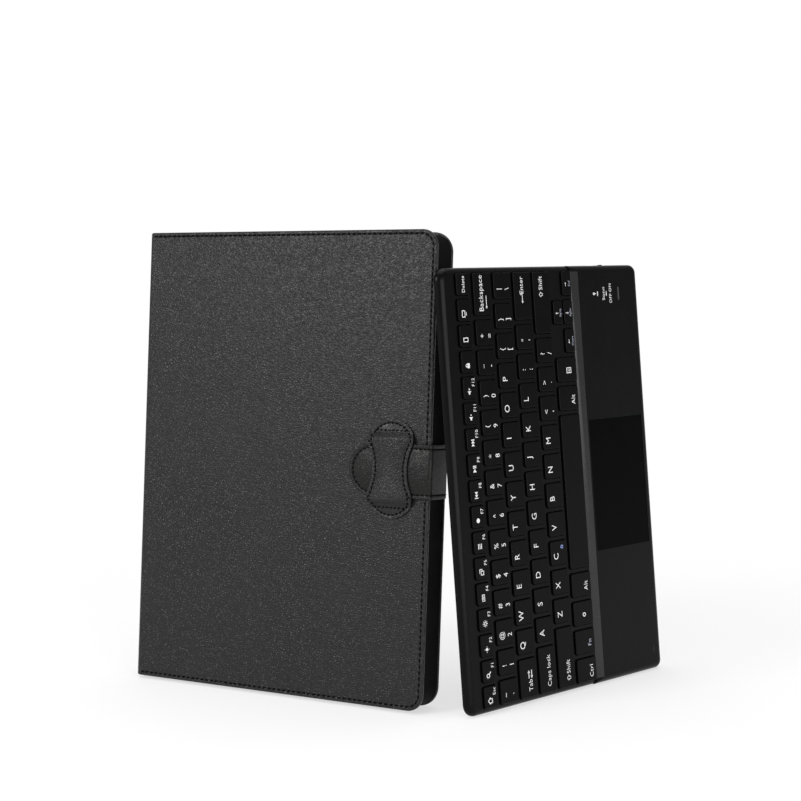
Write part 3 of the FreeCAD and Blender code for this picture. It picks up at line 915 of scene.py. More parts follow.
@dataclass
class StrapLoop:
    """Hourglass patch, sewn down at both ends and arched over the strap between them."""

    shop: Workshop
    middle: Point = (168.5, 132.0)
    base: float = 20.9
    half_height: float = 27.6
    half_lobe: float = 15.2
    half_waist: float = 10.7
    shoulder: float = 15.5
    thickness: float = 1.0
    rise: float = 2.1
    foot: float = 20.8
    crown: float = 16.6
    edge_radius: float = 0.38
    inner_roll: float = 0.5
    lobe_steps: int = 26
    waist_steps: int = 18
    weld: Point = (0.6, 0.5)
    smooth_reach: float = 4.5
    smooth_rounds: int = 8
    level_step: float = 0.5
    end_seam_half: float = 10.4
    end_seam_from_foot: float = 0.5
    seam: Seam = Seam(
        inset=2.2, groove_width=1.3, groove_depth=0.3, pitch=2.5, length=2.1, width=1.05, sink=0.4,
    )

    def outline(self, inset: float) -> BMesh:
        """Draws the hourglass as four arcs spun from single points.

        Args:
            inset: How far inside the edge the line runs.

        Returns:
            A mesh of edges, centred on the origin.
        """
        bm = bmesh.new()
        sag = self.half_height - self.shoulder
        lobe = (self.half_lobe ** 2 + sag ** 2) / (2 * sag)
        lobe_y = self.half_height - lobe
        dip = self.half_lobe - self.half_waist
        waist = (self.shoulder ** 2 + dip ** 2) / (2 * dip)
        waist_x = self.half_waist + waist
        joint = math.atan2(self.shoulder, waist_x - self.half_lobe)
        tilt = math.atan2(self.shoulder - lobe_y, self.half_lobe)
        for sign in (1.0, -1.0):
            spots = (
                ((0.0, lobe_y), lobe - inset, tilt, math.pi - tilt, self.lobe_steps),
                ((waist_x, 0.0), waist + inset, math.pi - joint, math.pi + joint, self.waist_steps),
            )
            for (x, y), radius, first, last, steps in spots:
                centre = Vector((x * sign, y * sign, 0.0))
                turn = 0.0 if sign > 0 else math.pi
                start = centre + radius * Vector((math.cos(first + turn), math.sin(first + turn), 0.0))
                seed = bm.verts.new(start)
                bmesh.ops.spin(
                    bm, geom=[seed], cent=centre, axis=(0.0, 0.0, 1.0), dvec=(0.0, 0.0, 0.0),
                    angle=last - first, steps=steps,
                    use_merge=False, use_normal_flip=False, use_duplicate=False,
                )
        bmesh.ops.remove_doubles(bm, verts=bm.verts, dist=self.weld[0] + inset * self.weld[1])
        return bm

    def surface(self, y: float) -> float:
        """Height of the patch's outside above the cover at one distance from its middle."""
        share = min(max((self.foot - abs(y)) / (self.foot - self.crown), 0.0), 1.0)
        return self.thickness + self.rise * share * share * (3.0 - 2.0 * share)

    def build(self) -> None:
        """Makes the patch and its sewing."""
        bm = self.outline(0.0)
        near = [vert for vert in bm.verts if abs(abs(vert.co.y) - self.shoulder) < self.smooth_reach]
        for _ in range(self.smooth_rounds):
            bmesh.ops.smooth_vert(
                bm, verts=near, factor=0.5, use_axis_x=True, use_axis_y=True, use_axis_z=True,
            )
        bmesh.ops.contextual_create(bm, geom=bm.edges[:])
        bm.faces.ensure_lookup_table()
        if bm.faces[0].normal.z < 0.0:
            bmesh.ops.reverse_faces(bm, faces=bm.faces)
        Mesher.thicken(bm, self.thickness)
        Mesher.roll(bm, 0.0, self.edge_radius, steps=4)
        Mesher.roll(bm, -self.thickness, self.edge_radius * self.inner_roll, steps=2)
        self.seam.press(bm, self.edge_radius)
        levels = round((self.foot - self.crown) / self.level_step)
        for sign in (1.0, -1.0):
            for level in range(levels + 1):
                y = sign * (self.crown + (self.foot - self.crown) * level / levels)
                Mesher.cut(bm, (0.0, y, 0.0), (0.0, 1.0, 0.0))
        for vert in bm.verts:
            vert.co.z += self.surface(vert.co.y)
        move = Vector((*self.middle, self.base))
        bmesh.ops.translate(bm, vec=move, verts=bm.verts)
        made = self.shop.piece(bm, "strap_loop_leather", CASE_STAND, "black_leather", "leather")
        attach(made, "front_cover")
        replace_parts(made, "strap_loop")
        self.sewing(move)

    def sewing(self, move: Vector) -> None:
        """Sews round the patch and across its two ends.

        Args:
            move: Where the patch's middle lies in the case's frame.
        """
        line = self.outline(self.seam.inset)
        points = sorted((vert.co.copy() for vert in line.verts), key=lambda spot: math.atan2(spot.y, spot.x))
        line.free()
        places = self.seam.places(points + points[:1])
        for sign in (1.0, -1.0):
            y = sign * (self.foot + self.end_seam_from_foot)
            ends = [Vector((x, y, 0.0)) for x in (-self.end_seam_half, self.end_seam_half)]
            places += self.seam.places(ends)
        bm = self.seam.sew(
            (spot + Vector((0.0, 0.0, self.surface(spot.y))) + move, turn) for spot, turn in places
        )
        made = self.shop.piece(bm, "loop_stitches", CASE_STAND, "thread", "leather", STITCH_SHARP)
        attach(made, "front_cover")


@dataclass(frozen=True)
class Key:
    """One key of the keyboard.

    Args:
        body: The body that the key moves with.
        start: Where it starts along the length.
        length: Its length.
        across: Where it starts across the width.
        depth: Its depth.
    """

    body: str
    start: float
    length: float
    across: float
    depth: float

    def spot(self, right: float, down: float) -> Point:
        """A point at some distance from the key's middle, as (along, across)."""
        return self.start + self.length / 2 + right, self.across + self.depth / 2 + down


@dataclass
class KeyField:
    """Where every key lies, in rows from the rear."""

    margin: float = 3.4
    field_length: float = 237.6
    pitch: float = 16.55
    gap: float = 2.85
    depth: float = 13.8
    row_pitch: float = 16.05
    function_count: int = 17
    function_gap: float = 2.3
    function_depth: float = 10.0
    function_start: float = 11.3
    number_start: float = 24.2
    bottom_start: float = 88.4
    bottom_depth: float = 16.5
    arrow_gap: float = 1.2
    first_lengths: tuple[float, ...] = (13.1, 21.7, 26.0, 34.3)

    @property
    def end(self) -> float:
        """Where the key field ends along the length."""
        return self.margin + self.field_length

    @property
    def cap(self) -> float:
        """Length of a letter key."""
        return self.pitch - self.gap

    def function_row(self) -> list[Key]:
        """The short keys along the rear."""
        pitch = (self.field_length + self.function_gap) / self.function_count
        size = pitch - self.function_gap
        starts = [self.margin + place * pitch for place in range(self.function_count)]
        across, depth = self.function_start, self.function_depth
        return [Key("function_keys", start, size, across, depth) for start in starts]

    def row(self, number: int, bodies: Sequence[str]) -> list[Key]:
        """One of the four full rows.

        Args:
            number: The row, from the rear.
            bodies: The body of each key, from the left.

        Returns:
            The row's keys.
        """
        across = self.number_start + number * self.row_pitch
        first = self.first_lengths[number]
        keys = [Key(bodies[0], self.margin, first, across, self.depth)]
        start = self.margin + first + self.gap
        for body in bodies[1:-1]:
            keys.append(Key(body, start, self.cap, across, self.depth))
            start += self.pitch
        return keys + [Key(bodies[-1], start, self.end - start, across, self.depth)]

    def bottom_keys(self, starts: Iterable[float]) -> list[Key]:
        """Keys of full depth in the bottom row."""
        across, depth = self.bottom_start, self.bottom_depth
        return [Key("command_keys", start, self.cap, across, depth) for start in starts]

    def bottom_left(self) -> list[Key]:
        """The four keys left of the space bar."""
        return self.bottom_keys(self.margin + place * self.pitch for place in range(4))

    def bottom_right(self) -> list[Key]:
        """Two full keys right of the space bar, then the left, up, down and right arrows."""
        half = (self.bottom_depth - self.arrow_gap) / 2
        upper = self.bottom_start
        lower = upper + half + self.arrow_gap
        starts = [self.end - self.cap - place * self.pitch for place in range(5)]
        arrows = ((starts[2], lower), (starts[1], upper), (starts[1], lower), (starts[0], lower))
        full = self.bottom_keys((starts[4], starts[3]))
        return full + [Key("command_keys", start, self.cap, across, half) for start, across in arrows]


Stroke = tuple[float, ...] | tuple[Point, ...]
AXES = ((0.0, 1.0), (0.0, -1.0), (1.0, 0.0), (-1.0, 0.0))
DIAGONALS = ((1.0, 1.0), (-1.0, -1.0), (1.0, -1.0), (-1.0, 1.0))
SPEAKER = ((-0.9, -0.3), (-0.45, -0.3), (0.1, -0.8), (0.1, 0.8), (-0.45, 0.3), (-0.9, 0.3))
RIM_PAST = 0.1


def rays(ways: Iterable[Point], near: float, far: float, width: float) -> list[Stroke]:
    """Bars that point away from the middle of a sign."""
    return [(x * near, y * near, x * far, y * far, width) for x, y in ways]


def rim(left: float, low: float, right: float, high: float, width: float) -> list[Stroke]:
    """Four bars round a rectangle, of which the upright ones run a little past its corners."""
    level = [(left, y, right, y, width) for y in (low, high)]
    return level + [(x, low - RIM_PAST, x, high + RIM_PAST, width) for x in (left, right)]


class Mark(Enum):
    """Small generic signs, as strokes in a box two units wide.

    A disc is (x, y, radius), a ring (x, y, radius, width), a bar (x, y, x, y, width), and a patch
    a list of points.
    """

    HOME = ((-0.62, -0.9, -0.62, 0.1, 0.3), (0.62, -0.9, 0.62, 0.1, 0.3), (-0.75, -0.8, 0.75, -0.8, 0.3),
            (-1.0, 0.0, 0.05, 0.95, 0.3), (1.0, 0.0, -0.05, 0.95, 0.3))
    SEARCH = ((-0.2, 0.2, 0.72, 0.28), (0.28, -0.28, 0.95, -0.95, 0.36))
    DIM = ((0.0, 0.0, 0.5), *rays(AXES, 0.72, 0.95, 0.24))
    BRIGHT = ((0.0, 0.0, 0.58, 0.24), *rays(AXES, 0.7, 1.05, 0.24), *rays(DIAGONALS, 0.5, 0.75, 0.22))
    BOARD = (*rim(-0.95, -0.5, 0.95, 0.5, 0.24), (-0.5, 0.05, 0.5, 0.05, 0.26))
    LIST = tuple((-0.8, y, 0.8, y, 0.3) for y in (0.65, 0.0, -0.65))
    COPY = (*rim(-0.8, -0.8, 0.35, 0.3, 0.26), (-0.3, 0.85, 0.9, 0.85, 0.26), (0.85, -0.3, 0.85, 0.9, 0.26))
    DOT = ((0.0, 0.0, 0.72),)
    DASH = ((-1.0, 0.0, 1.0, 0.0, 0.5),)
    PREVIOUS = ((-1.0, -0.7, -1.0, 0.7, 0.3), ((-0.8, 0.0), (0.0, -0.7), (0.0, 0.7)),
                ((0.05, 0.0), (0.9, -0.7), (0.9, 0.7)))
    PLAY = (((-1.0, -0.75), (0.1, 0.0), (-1.0, 0.75)), (0.4, -0.7, 0.4, 0.7, 0.3), (0.9, -0.7, 0.9, 0.7, 0.3))
    NEXT = ((1.0, -0.7, 1.0, 0.7, 0.3), ((0.8, 0.0), (0.0, 0.7), (0.0, -0.7)),
            ((-0.05, 0.0), (-0.9, 0.7), (-0.9, -0.7)))
    QUIETER = (SPEAKER, (0.4, 0.0, 0.95, 0.0, 0.28))
    LOUDER = (SPEAKER, (0.35, 0.0, 1.0, 0.0, 0.28), (0.67, -0.32, 0.67, 0.32, 0.28))
    LOCK = (((-0.75, -0.9), (0.75, -0.9), (0.75, 0.1), (-0.75, 0.1)), (0.0, 0.3, 0.55, 0.26))
    TABLET = ((-0.55, -0.9, 0.55, -0.9, 0.28), (-0.55, 0.9, 0.55, 0.9, 0.28), (-0.55, -1.0, -0.55, 1.0, 0.26),
              (0.55, -1.0, 0.55, 1.0, 0.26))
    SCREEN = (*rim(-0.95, -0.35, 0.95, 0.8, 0.26), (-0.5, -0.9, 0.5, -0.9, 0.26))
    RING = ((0.0, 0.0, 0.8, 0.34),)
    MENU = (*rim(-0.7, -0.9, 0.7, 0.9, 0.24), *((-0.35, y, 0.35, y, 0.22) for y in (0.35, -0.25)))
    LEFT = ((-0.7, 0.0, 1.0, 0.0, 0.3), ((-1.0, 0.0), (-0.25, -0.6), (-0.25, 0.6)))
    RIGHT = ((-1.0, 0.0, 0.7, 0.0, 0.3), ((1.0, 0.0), (0.25, 0.6), (0.25, -0.6)))
    UP = ((0.0, -1.0, 0.0, 0.7, 0.3), ((0.0, 1.0), (-0.6, 0.25), (0.6, 0.25)))
    DOWN = ((0.0, 1.0, 0.0, -0.7, 0.3), ((0.0, -1.0), (0.6, -0.25), (-0.6, -0.25)))
    BACK = ((-2.3, 0.0, 2.7, 0.0, 0.3), ((-2.7, 0.0), (-1.8, -0.6), (-1.8, 0.6)))
    SHIFT = ((0.0, 0.95, -0.95, 0.0, 0.24), (-0.95, 0.0, -0.45, 0.0, 0.24), (-0.45, 0.0, -0.45, -0.85, 0.24),
             (-0.45, -0.85, 0.45, -0.85, 0.24), (0.45, -0.85, 0.45, 0.0, 0.24), (0.45, 0.0, 0.95, 0.0, 0.24),
             (0.95, 0.0, 0.0, 0.95, 0.24))
    RETURN = ((-1.3, -0.3, 1.6, -0.3, 0.3), (1.5, -0.4, 1.5, 0.7, 0.3),
              ((-1.7, -0.3), (-0.9, -0.9), (-0.9, 0.3)))
    TABS = ((-1.0, 0.5, 0.7, 0.5, 0.26), ((1.05, 0.5), (0.35, 0.95), (0.35, 0.05)),
            (-0.7, -0.5, 1.0, -0.5, 0.26), ((-1.05, -0.5), (-0.35, -0.95), (-0.35, -0.05)))
    CHARGE = ((0.0, -1.0, 0.0, -0.2, 0.34), ((-0.6, -0.2), (0.6, -0.2), (0.6, 0.4), (-0.6, 0.4)),
              (-0.3, 0.4, -0.3, 1.0, 0.26), (0.3, 0.4, 0.3, 1.0, 0.26))


class Anchor(Enum):
    """Which point of a word is put in place."""

    LEFT = 0.0
    MIDDLE = 0.5
    RIGHT = 1.0


class Printer:
    """Prints thin raised words and signs into meshes in the keyboard's flat frame."""

    ink_height: float = 0.04
    half_depth: float = 0.01
    spacing: float = 1.06
    curve_steps: int = 3
    disc_steps: int = 20

    def __init__(self) -> None:
        """Measures the built-in letters once."""
        mesh = self._letters("E")
        ys = [vert.co.y for vert in mesh.vertices]
        self.cap_height = max(ys) - min(ys)
        bpy.data.meshes.remove(mesh)

    def _letters(self, text: str) -> bpy.types.Mesh:
        """A word as a mesh one unit high.

        Args:
            text: The word.

        Returns:
            The mesh.
        """
        curve = bpy.data.curves.new("word", "FONT")
        curve.body = text
        curve.resolution_u = self.curve_steps
        curve.space_character = self.spacing
        curve.extrude = self.half_depth
        holder = place_object("word", curve)
        bpy.context.view_layer.update()
        mesh = bpy.data.meshes.new_from_object(holder)
        bpy.data.objects.remove(holder)
        bpy.data.curves.remove(curve)
        return mesh

    @staticmethod
    def _frame(along: float, across: float, level: float) -> Matrix:
        """Turns print so that it reads along the keyboard, with its top towards the rear."""
        turn = Matrix(((0.0, -1.0, 0.0), (1.0, 0.0, 0.0), (0.0, 0.0, 1.0))).to_4x4()
        return Matrix.Translation((across, along, level)) @ turn

    def word(
        self, bm: BMesh, text: str, at: Point, level: float, size: float, anchor: Anchor = Anchor.MIDDLE,
    ) -> None:
        """Prints a word.

        Args:
            bm: The mesh that takes it.
            text: The word.
            at: Where it goes, as (along, across).
            level: Height of the surface under it.
            size: Height of a capital letter.
            anchor: Which point of the word goes there.
        """
        mesh = self._letters(text)
        scale = size / self.cap_height
        xs = [vert.co.x for vert in mesh.vertices]
        ys = [vert.co.y for vert in mesh.vertices]
        x = min(xs) + (max(xs) - min(xs)) * anchor.value
        y = (min(ys) + max(ys)) / 2
        thin = self.ink_height / (2 * self.half_depth)
        flat = Matrix.Diagonal((scale, scale, thin, 1.0)) @ Matrix.Translation((-x, -y, 0.0))
        mesh.transform(self._frame(*at, level) @ flat)
        bm.from_mesh(mesh)
        bpy.data.meshes.remove(mesh)

    def mark(self, bm: BMesh, sign: Mark, at: Point, level: float, size: float) -> None:
        """Prints a sign.

        Args:
            bm: The mesh that takes it.
            sign: The sign.
            at: Where its middle goes, as (along, across).
            level: Height of the surface under it.
            size: The sign's height.
        """
        drawn = bmesh.new()
        for stroke in sign.value:
            if isinstance(stroke[0], tuple):
                drawn.faces.new([drawn.verts.new((x, y, 0.0)) for x, y in stroke])
            elif len(stroke) == 5:
                self._bar(drawn, *stroke)
            else:
                self._disc(drawn, *stroke)
        bmesh.ops.recalc_face_normals(drawn, faces=drawn.faces)
        Mesher.thicken(drawn, 1.0)
        half = size / 2
        flat = Matrix.Diagonal((half, half, self.ink_height, 1.0)) @ Matrix.Translation((0.0, 0.0, 0.5))
        bmesh.ops.transform(drawn, matrix=self._frame(*at, level) @ flat, verts=drawn.verts)
        mesh = mesh_from(drawn, "sign")
        bm.from_mesh(mesh)
        bpy.data.meshes.remove(mesh)

    @staticmethod
    def _bar(bm: BMesh, x0: float, y0: float, x1: float, y1: float, width: float) -> None:
        """A straight stroke between two points."""
        reach = Vector((x1 - x0, y1 - y0))
        turn = Matrix.Rotation(math.atan2(reach.y, reach.x), 4, "Z")
        size = Matrix.Diagonal((reach.length / 2, width / 2, 1.0, 1.0))
        place = Matrix.Translation(((x0 + x1) / 2, (y0 + y1) / 2, 0.0)) @ turn @ size
        bmesh.ops.create_grid(bm, x_segments=1, y_segments=1, size=1.0, matrix=place)

    def _disc(self, bm: BMesh, x: float, y: float, radius: float, width: float = 0.0) -> None:
        """A round spot, or a ring where it has a width."""
        place = Matrix.Translation((x, y, 0.0))
        steps = self.disc_steps
        made = bmesh.ops.create_circle(bm, cap_ends=True, segments=steps, radius=radius, matrix=place)
        if width:
            face = made["verts"][0].link_faces[0]
            bmesh.ops.inset_region(bm, faces=[face], thickness=width, use_even_offset=True, use_boundary=True)
            bmesh.ops.delete(bm, geom=[face], context="FACES_ONLY")


@dataclass
class Keyboard:
    """Print on the keys and the palm rest, and the strip on the slope between them."""

    shop: Workshop
    keys: KeyField = field(default_factory=KeyField)
    printer: Printer = field(default_factory=Printer)
    meshes: dict[str, BMesh] = field(default_factory=lambda: defaultdict(bmesh.new))
    key_top: float = 6.2
    palm: float = 6.4
    letter: float = 3.8
    digit: float = 3.2
    small: float = 2.9
    tiny: float = 2.1
    left: float = -1.9
    up: float = -2.7
    down: float = 3.2
    sign_size: float = 3.6
    sign_spot: Point = (-2.1, -0.6)
    name_spot: Point = (2.9, 2.7)
    print_sharp: float = 30.0
    light_along: float = 227.5
    light_print: float = 2.6
    length: float = 244.4
    deck: float = 5.0
    strip_start: float = 105.4
    strip_end: float = 111.4
    strip_inset: float = 3.6
    strip_clear: float = 0.15
    strip_corner: float = 0.5
    strip_thickness: float = 0.12
    strip_roll: float = 0.6

    def build(self) -> None:
        """Prints every key and the palm rest, and lays the strip."""
        self.print_function_row()
        self.print_numbers()
        self.print_letters()
        self.print_commands()
        for body, bm in self.meshes.items():
            made = self.shop.piece(bm, "print_" + body, KEYBOARD_STAND, "white_ink", "", self.print_sharp)
            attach(made, body)
        self.print_tinted()
        self.print_palm_rest()
        self.strip()

    def put(
        self, key: Key, what: str | Mark, right: float, down: float, size: float,
        anchor: Anchor = Anchor.MIDDLE,
    ) -> None:
        """Prints a word or a sign on a key.

        Args:
            key: The key.
            what: The word or the sign.
            right: How far right of the key's middle it goes.
            down: How far below the middle it goes.
            size: Height of a capital letter, or of the sign.
            anchor: Which point of a word goes there.
        """
        bm, spot = self.meshes[key.body], key.spot(right, down)
        if isinstance(what, Mark):
            self.printer.mark(bm, what, spot, self.key_top, size)
        else:
            self.printer.word(bm, what, spot, self.key_top, size, anchor)

    def pair(self, key: Key, signs: str) -> None:
        """Prints a key's shifted sign above its plain one."""
        for sign, down in zip(signs, (self.up, self.down)):
            self.put(key, sign, self.left, down, self.digit)

    def print_function_row(self) -> None:
        """Prints signs and small names on the rear row."""
        signs = (
            Mark.HOME, Mark.SEARCH, Mark.DIM, Mark.BRIGHT, Mark.BOARD, Mark.COPY, Mark.LIST, Mark.DOT,
            Mark.PREVIOUS, Mark.PLAY, Mark.NEXT, Mark.QUIETER, Mark.LOUDER, Mark.LOCK, Mark.TABLET,
            Mark.SCREEN,
        )
        names = ["Esc"] + [f"F{number}" for number in range(1, 13)]
        row = self.keys.function_row()
        for key, sign in zip(row, signs):
            self.put(key, sign, *self.sign_spot, self.sign_size)
        for key, name in zip(row, names):
            self.put(key, name, *self.name_spot, self.tiny)
        self.put(row[-1], "Delete", 0.0, 0.0, 2.2)

    def print_numbers(self) -> None:
        """Prints the number row."""
        pairs = ["~`", "!1", "@2", "#3", "$4", "%5", "^6", "&7", "*8", "(9", ")0", "_-", "+="]
        row = self.keys.row(0, ["number_keys"] * 14)
        for key, signs in zip(row, pairs):
            self.pair(key, signs)
        self.put(row[-1], "Backspace", 0.4, -1.0, 3.15)
        self.put(row[-1], Mark.BACK, -4.6, 2.5, 2.7)

    def print_letters(self) -> None:
        """Prints the letter keys and the signs that end their rows."""
        rows = (
            (1, "qwertyuiop", ["{[", "}]", "|\\"]),
            (2, "asdfghjkl", [":;", "\"'"]),
            (3, "zxcvbnm", ["<,", ">.", "?/"]),
        )
        for number, letters, pairs in rows:
            bodies = ["command_keys"] + ["key_" + letter for letter in letters] + ["symbol_keys"] * len(pairs)
            row = self.keys.row(number, bodies + ([] if number == 1 else ["command_keys"]))[1:]
            for key, letter in zip(row, letters):
                self.put(key, letter.upper(), self.left, self.up, self.letter)
            for key, signs in zip(row[len(letters):], pairs):
                self.pair(key, signs)

    def print_commands(self) -> None:
        """Prints the keys round the letters, with words in small type."""
        first = [self.keys.row(number, ["command_keys"] * 13)[0] for number in (1, 2, 3)]
        start, end = 3.3, 2.5
        sign_room, sign_middle = 4.4, 1.9
        low, high = 1.4, -0.8
        for key, text in zip(first, ("Tab", "Caps lock", "Shift")):
            room = sign_room if text == "Shift" else 0.0
            self.put(key, text, start + room - key.length / 2, low, self.small, Anchor.LEFT)
        self.put(first[0], Mark.TABS, sign_middle, low, 4.6)
        self.put(first[2], Mark.SHIFT, start + sign_middle - first[2].length / 2, low, 3.3)
        enter = self.keys.row(2, ["command_keys"] * 13)[-1]
        shift = self.keys.row(3, ["command_keys"] * 12)[-1]
        ends = ((enter, "Enter", Mark.RETURN, 14.9), (shift, "Shift", Mark.SHIFT, 12.9))
        for key, text, sign, reach in ends:
            self.put(key, text, key.length / 2 - end, high, self.small, Anchor.RIGHT)
            self.put(key, sign, key.length / 2 - reach, high, 3.0)
        left, right = self.keys.bottom_left(), self.keys.bottom_right()
        legends = [
            (left[0], "Ctrl", -1.0, 3.8, self.small), (left[2], Mark.RING, -1.0, 0.6, 3.2),
            (left[3], "Alt", -1.0, 3.6, self.small), (right[0], "Alt", -1.0, 3.6, self.small),
            (right[1], Mark.MENU, -0.6, 1.4, 4.0),
        ]
        arrows = (Mark.LEFT, Mark.UP, Mark.DOWN, Mark.RIGHT)
        legends += [(key, sign, -0.6, -1.1, 2.3) for key, sign in zip(right[2:], arrows)]
        for key, what, along, down, size in legends:
            self.put(key, what, along, down, size)

    def print_tinted(self) -> None:
        """Prints the function key and what it does on the arrows in pale ink, and a ring in blue."""
        pale = bmesh.new()
        key = self.keys.bottom_left()[1]
        self.printer.word(pale, "Fn", key.spot(-1.0, 3.7), self.key_top, self.small)
        for key, name in zip(self.keys.bottom_right()[2:], ("Home", "PgUp", "PgDn", "End")):
            self.printer.word(pale, name, key.spot(-0.2, 1.9), self.key_top, 1.4)
        made = self.shop.piece(pale, "pale_print_command_keys", KEYBOARD_STAND, "pale_ink")
        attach(made, "command_keys")
        blue = bmesh.new()
        key = self.keys.row(3, ["command_keys"] * 12)[3]
        self.printer.mark(blue, Mark.RING, key.spot(3.2, 2.6), self.key_top, 2.6)
        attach(self.shop.piece(blue, "blue_print_key_c", KEYBOARD_STAND, "blue_ink"), "key_c")

    def print_palm_rest(self) -> None:
        """Prints the words beside the status light."""
        bm = bmesh.new()
        for across, sign in ((124.7, Mark.CHARGE), (127.6, Mark.DASH), (135.5, Mark.DASH)):
            self.printer.mark(bm, sign, (self.light_along, across), self.palm, self.light_print)
        for across, text in ((132.9, "Status"), (139.2, "OFF ON")):
            self.printer.word(bm, text, (self.light_along, across), self.palm, self.tiny)
        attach(self.shop.piece(bm, "print_palm_rest", KEYBOARD_STAND, "white_ink"), "keyboard")

    def strip(self) -> None:
        """Lays the satin strip on the slope between the keys and the palm rest."""
        run = self.strip_end - self.strip_start
        slope = math.atan2(self.palm - self.deck, run)
        near, far = self.strip_clear, run / math.cos(slope) - self.strip_clear * 2
        low, high = self.strip_inset, self.length - self.strip_inset
        corners = [(near, low), (far, low), (far, high), (near, high)]
        bm = Mesher.sheet(corners, [self.strip_corner] * 4, steps=4)
        Mesher.thicken(bm, self.strip_thickness * 2)
        Mesher.roll(bm, 0.0, self.strip_thickness * self.strip_roll, steps=3)
        tilt = Matrix.Rotation(-slope, 4, "Y")
        lift = Matrix.Translation((0.0, 0.0, self.strip_thickness))
        move = Matrix.Translation((self.strip_start, 0.0, self.deck))
        bmesh.ops.transform(bm, matrix=move @ tilt @ lift, verts=bm.verts)
        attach(self.shop.piece(bm, "slope_strip", KEYBOARD_STAND, "slope_strip", "shell"), "keyboard")


@dataclass(frozen=True)
class Lamp:
    """A soft box.

    Args:
        name: The lamp's name.
        at: Where it hangs.
        to: The point that it faces.
        size: Its width and height.
        power: Its power in watts.
    """

    name: str
    at: tuple[float, float, float]
    to: tuple[float, float, float]
    size: Point
    power: float

    def hang(self) -> None:
        """Puts the lamp in the scene."""
        data = bpy.data.lights.new(self.name, "AREA")
        data.shape = "RECTANGLE"
        data.size, data.size_y = self.size
        data.energy = self.power
        aim = (Vector(self.to) - Vector(self.at)).to_track_quat("-Z", "Y").to_matrix().to_4x4()
        place_object(self.name, data).matrix_world = Matrix.Translation(self.at) @ aim


LAMPS = (
    Lamp("key_lamp", (-0.88, -1.6, 0.9), (-0.05, -0.05, 0.18), (0.6, 0.45), 20.0),
    Lamp("right_lamp", (1.457, -0.848, 0.33), (0.1, 0.0, 0.13), (1.63, 0.7), 14.0),
    Lamp("top_lamp", (0.0, 0.1, 1.7), (0.0, 0.0, 0.0), (1.6, 1.6), 16.0),
)


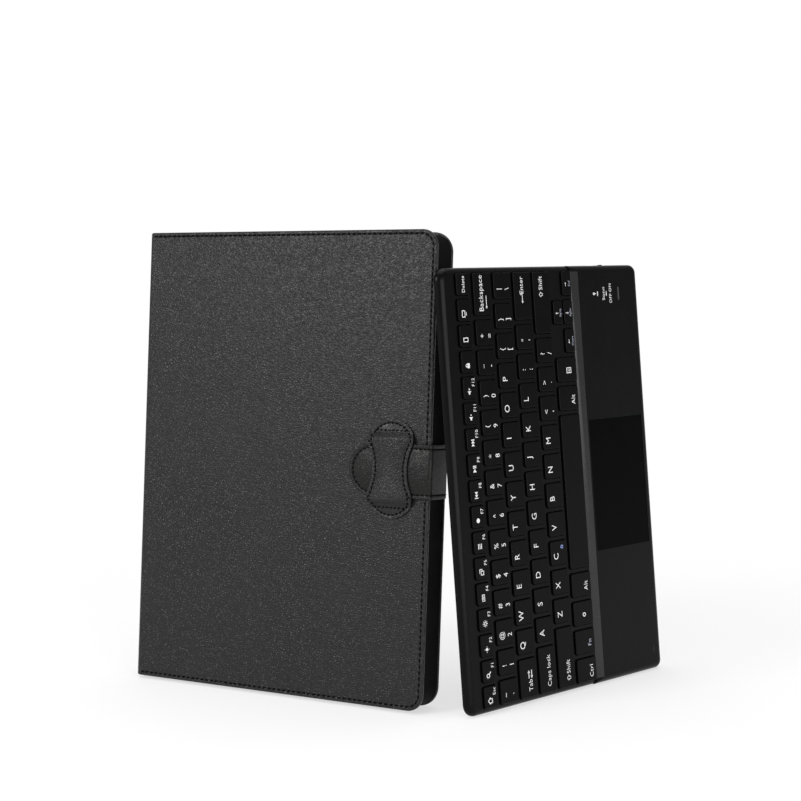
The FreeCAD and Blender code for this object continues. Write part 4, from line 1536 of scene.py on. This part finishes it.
@dataclass
class Studio:
    """Camera, lamps, world, floor and back wall."""

    eye: tuple[float, float, float] = (0.46782, -0.88401, 0.25137)
    heading: float = 117.943
    pitch: float = -4.987
    roll: float = -0.411
    lens: float = 75.63
    sensor: float = 36.0
    white_level: float = 0.95
    floor_size: float = 40.0
    floor_fade: tuple[float, float] = (0.2, 0.5)
    floor_glow: float = 0.6
    wall_radius: float = 4.0
    wall_arc: tuple[float, float] = (95.0, 145.0)
    wall_height: float = 4.0
    wall_steps: int = 40
    fill: float = 0.4

    def build(self) -> None:
        """Sets up everything round the object."""
        bpy.context.scene.view_settings.view_transform = "Standard"
        self.camera()
        self.world()
        self.floor()
        self.wall()
        for lamp in LAMPS:
            lamp.hang()

    def camera(self) -> None:
        """Puts the camera at the photograph's viewpoint."""
        data = bpy.data.cameras.new("camera")
        data.lens = self.lens
        data.sensor_width = self.sensor
        made = place_object("camera", data)
        turn = Matrix.Rotation(math.radians(self.heading - 90.0), 4, "Z")
        tilt = Matrix.Rotation(math.radians(90.0 + self.pitch), 4, "X")
        roll = Matrix.Rotation(math.radians(self.roll), 4, "Z")
        made.matrix_world = Matrix.Translation(self.eye) @ turn @ tilt @ roll
        bpy.context.scene.camera = made

    def world(self) -> None:
        """A plain surround that lights the object softly."""
        world = bpy.data.worlds.new("studio")
        world.use_nodes = True
        tree = world.node_tree
        feed(tree, tree.nodes["Background"], {"Color": (*grey(1.0), 1.0), "Strength": self.fill})
        bpy.context.scene.world = world

    def floor(self) -> None:
        """A plain white floor that takes the soft shadows and fades into the wall."""
        bm = bmesh.new()
        bmesh.ops.create_grid(bm, x_segments=4, y_segments=4, size=self.floor_size)
        self.stage(bm, "floor", self.floor_glow)

    def wall(self) -> None:
        """A plain white wall in a wide arc behind the object."""
        bm = bmesh.new()
        turn = Matrix.Rotation(math.radians(self.wall_arc[0]), 3, "Z")
        ends = [bm.verts.new(turn @ Vector((self.wall_radius, 0.0, z))) for z in (0.0, self.wall_height)]
        line = bm.edges.new(ends)
        bmesh.ops.spin(
            bm, geom=[*ends, line], cent=(0.0, 0.0, 0.0), axis=(0.0, 0.0, 1.0), dvec=(0.0, 0.0, 0.0),
            angle=math.radians(self.wall_arc[1] - self.wall_arc[0]), steps=self.wall_steps,
            use_merge=False, use_normal_flip=False, use_duplicate=False,
        )
        self.stage(bm, "wall", 1.0)

    def stage(self, bm: BMesh, name: str, glow: float) -> None:
        """Makes a mesh part of the studio.

        Args:
            bm: The mesh; it is freed.
            name: The object's name.
            glow: How much of the white background shows next to the object.
        """
        mesh = mesh_from(bm, name)
        mesh.materials.append(self.white(name, glow))
        made = place_object(name, mesh)

    def seen(self, tree: Tree) -> bpy.types.NodeSocket:
        """A mask of the rays that show the white background.

        Args:
            tree: Where the nodes go.

        Returns:
            The mask's output.
        """
        light_path = add_node(tree, "LightPath", {}).outputs
        mask = light_path["Is Camera Ray"]
        for name in ("Is Glossy Ray", "Is Transmission Ray"):
            mask = add_node(tree, "Math", {0: mask, 1: light_path[name]}, operation="MAXIMUM").outputs[0]
        return mask

    def white(self, name: str, glow: float) -> bpy.types.Material:
        """Matt white near the object, and plain white background further away.

        Args:
            name: The material's name.
            glow: How much of the white background shows next to the object.

        Returns:
            The material.
        """
        made = bpy.data.materials.new(name)
        made.use_nodes = True
        tree = made.node_tree
        inputs = {"Base Color": (*grey(self.white_level), 1.0), "Roughness": 1.0, "Specular IOR Level": 0.0}
        matt = feed(tree, tree.nodes["Principled BSDF"], inputs).outputs[0]
        place = add_node(tree, "TexCoord", {}).outputs["Object"]
        reach = add_node(tree, "VectorMath", {0: place}, operation="LENGTH").outputs["Value"]
        near, far = self.floor_fade
        inputs = {"Value": reach, "From Min": near, "From Max": far, "To Min": glow}
        fade = add_node(tree, "MapRange", inputs, interpolation_type="SMOOTHSTEP").outputs[0]
        share = add_node(tree, "Math", {0: fade, 1: self.seen(tree)}, operation="MULTIPLY").outputs[0]
        shine = add_node(tree, "Emission", {}).outputs[0]
        mixed = add_node(tree, "MixShader", {0: share, 1: matt, 2: shine}).outputs[0]
        feed(tree, tree.nodes["Material Output"], {"Surface": mixed})
        return made


KEPT_SOLIDS = {
    "cover_board": ("back_cover_board", "front_cover_board", "spine_board"),
    "tray_plastic": ("tablet_tray",),
    "shell_plastic": ("keyboard_base", "keyboard_frame", "power_switch"),
    "touchpad_film": ("touchpad_plate",),
    "rubber": ("rubber_feet", "corner_pad", "dome_sheet"),
    "steel": ("key_backplate", "charging_port", "case_screws", "keyboard_magnets", "cover_magnets"),
    "circuit_board": ("main_board", "touchpad_board"),
    "membrane_film": ("key_membrane",),
    "battery_pouch": ("battery_cell",),
    "light_lens": ("status_light",),
}


def main() -> None:
    """Loads the frame, dresses it and sets up the studio."""
    logging.basicConfig(level=logging.INFO, format="%(message)s")
    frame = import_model()
    shop = Workshop()
    nodes = frame["nodes"]
    for finish, names in KEPT_SOLIDS.items():
        shop.dress(nodes, finish, names)
    caps = [name for name in nodes if name.startswith("key_") and len(name) == 5]
    caps += [name for name in nodes if name.endswith("_keys") or name == "space_key"]
    shop.dress(nodes, "key_plastic", caps)
    LeatherCovers(shop).build()
    ClosingStrap(shop).build()
    StrapLoop(shop).build()
    Keyboard(shop).build()
    Studio().build()
    bpy.context.view_layer.update()


if __name__ == "__main__":
    main()
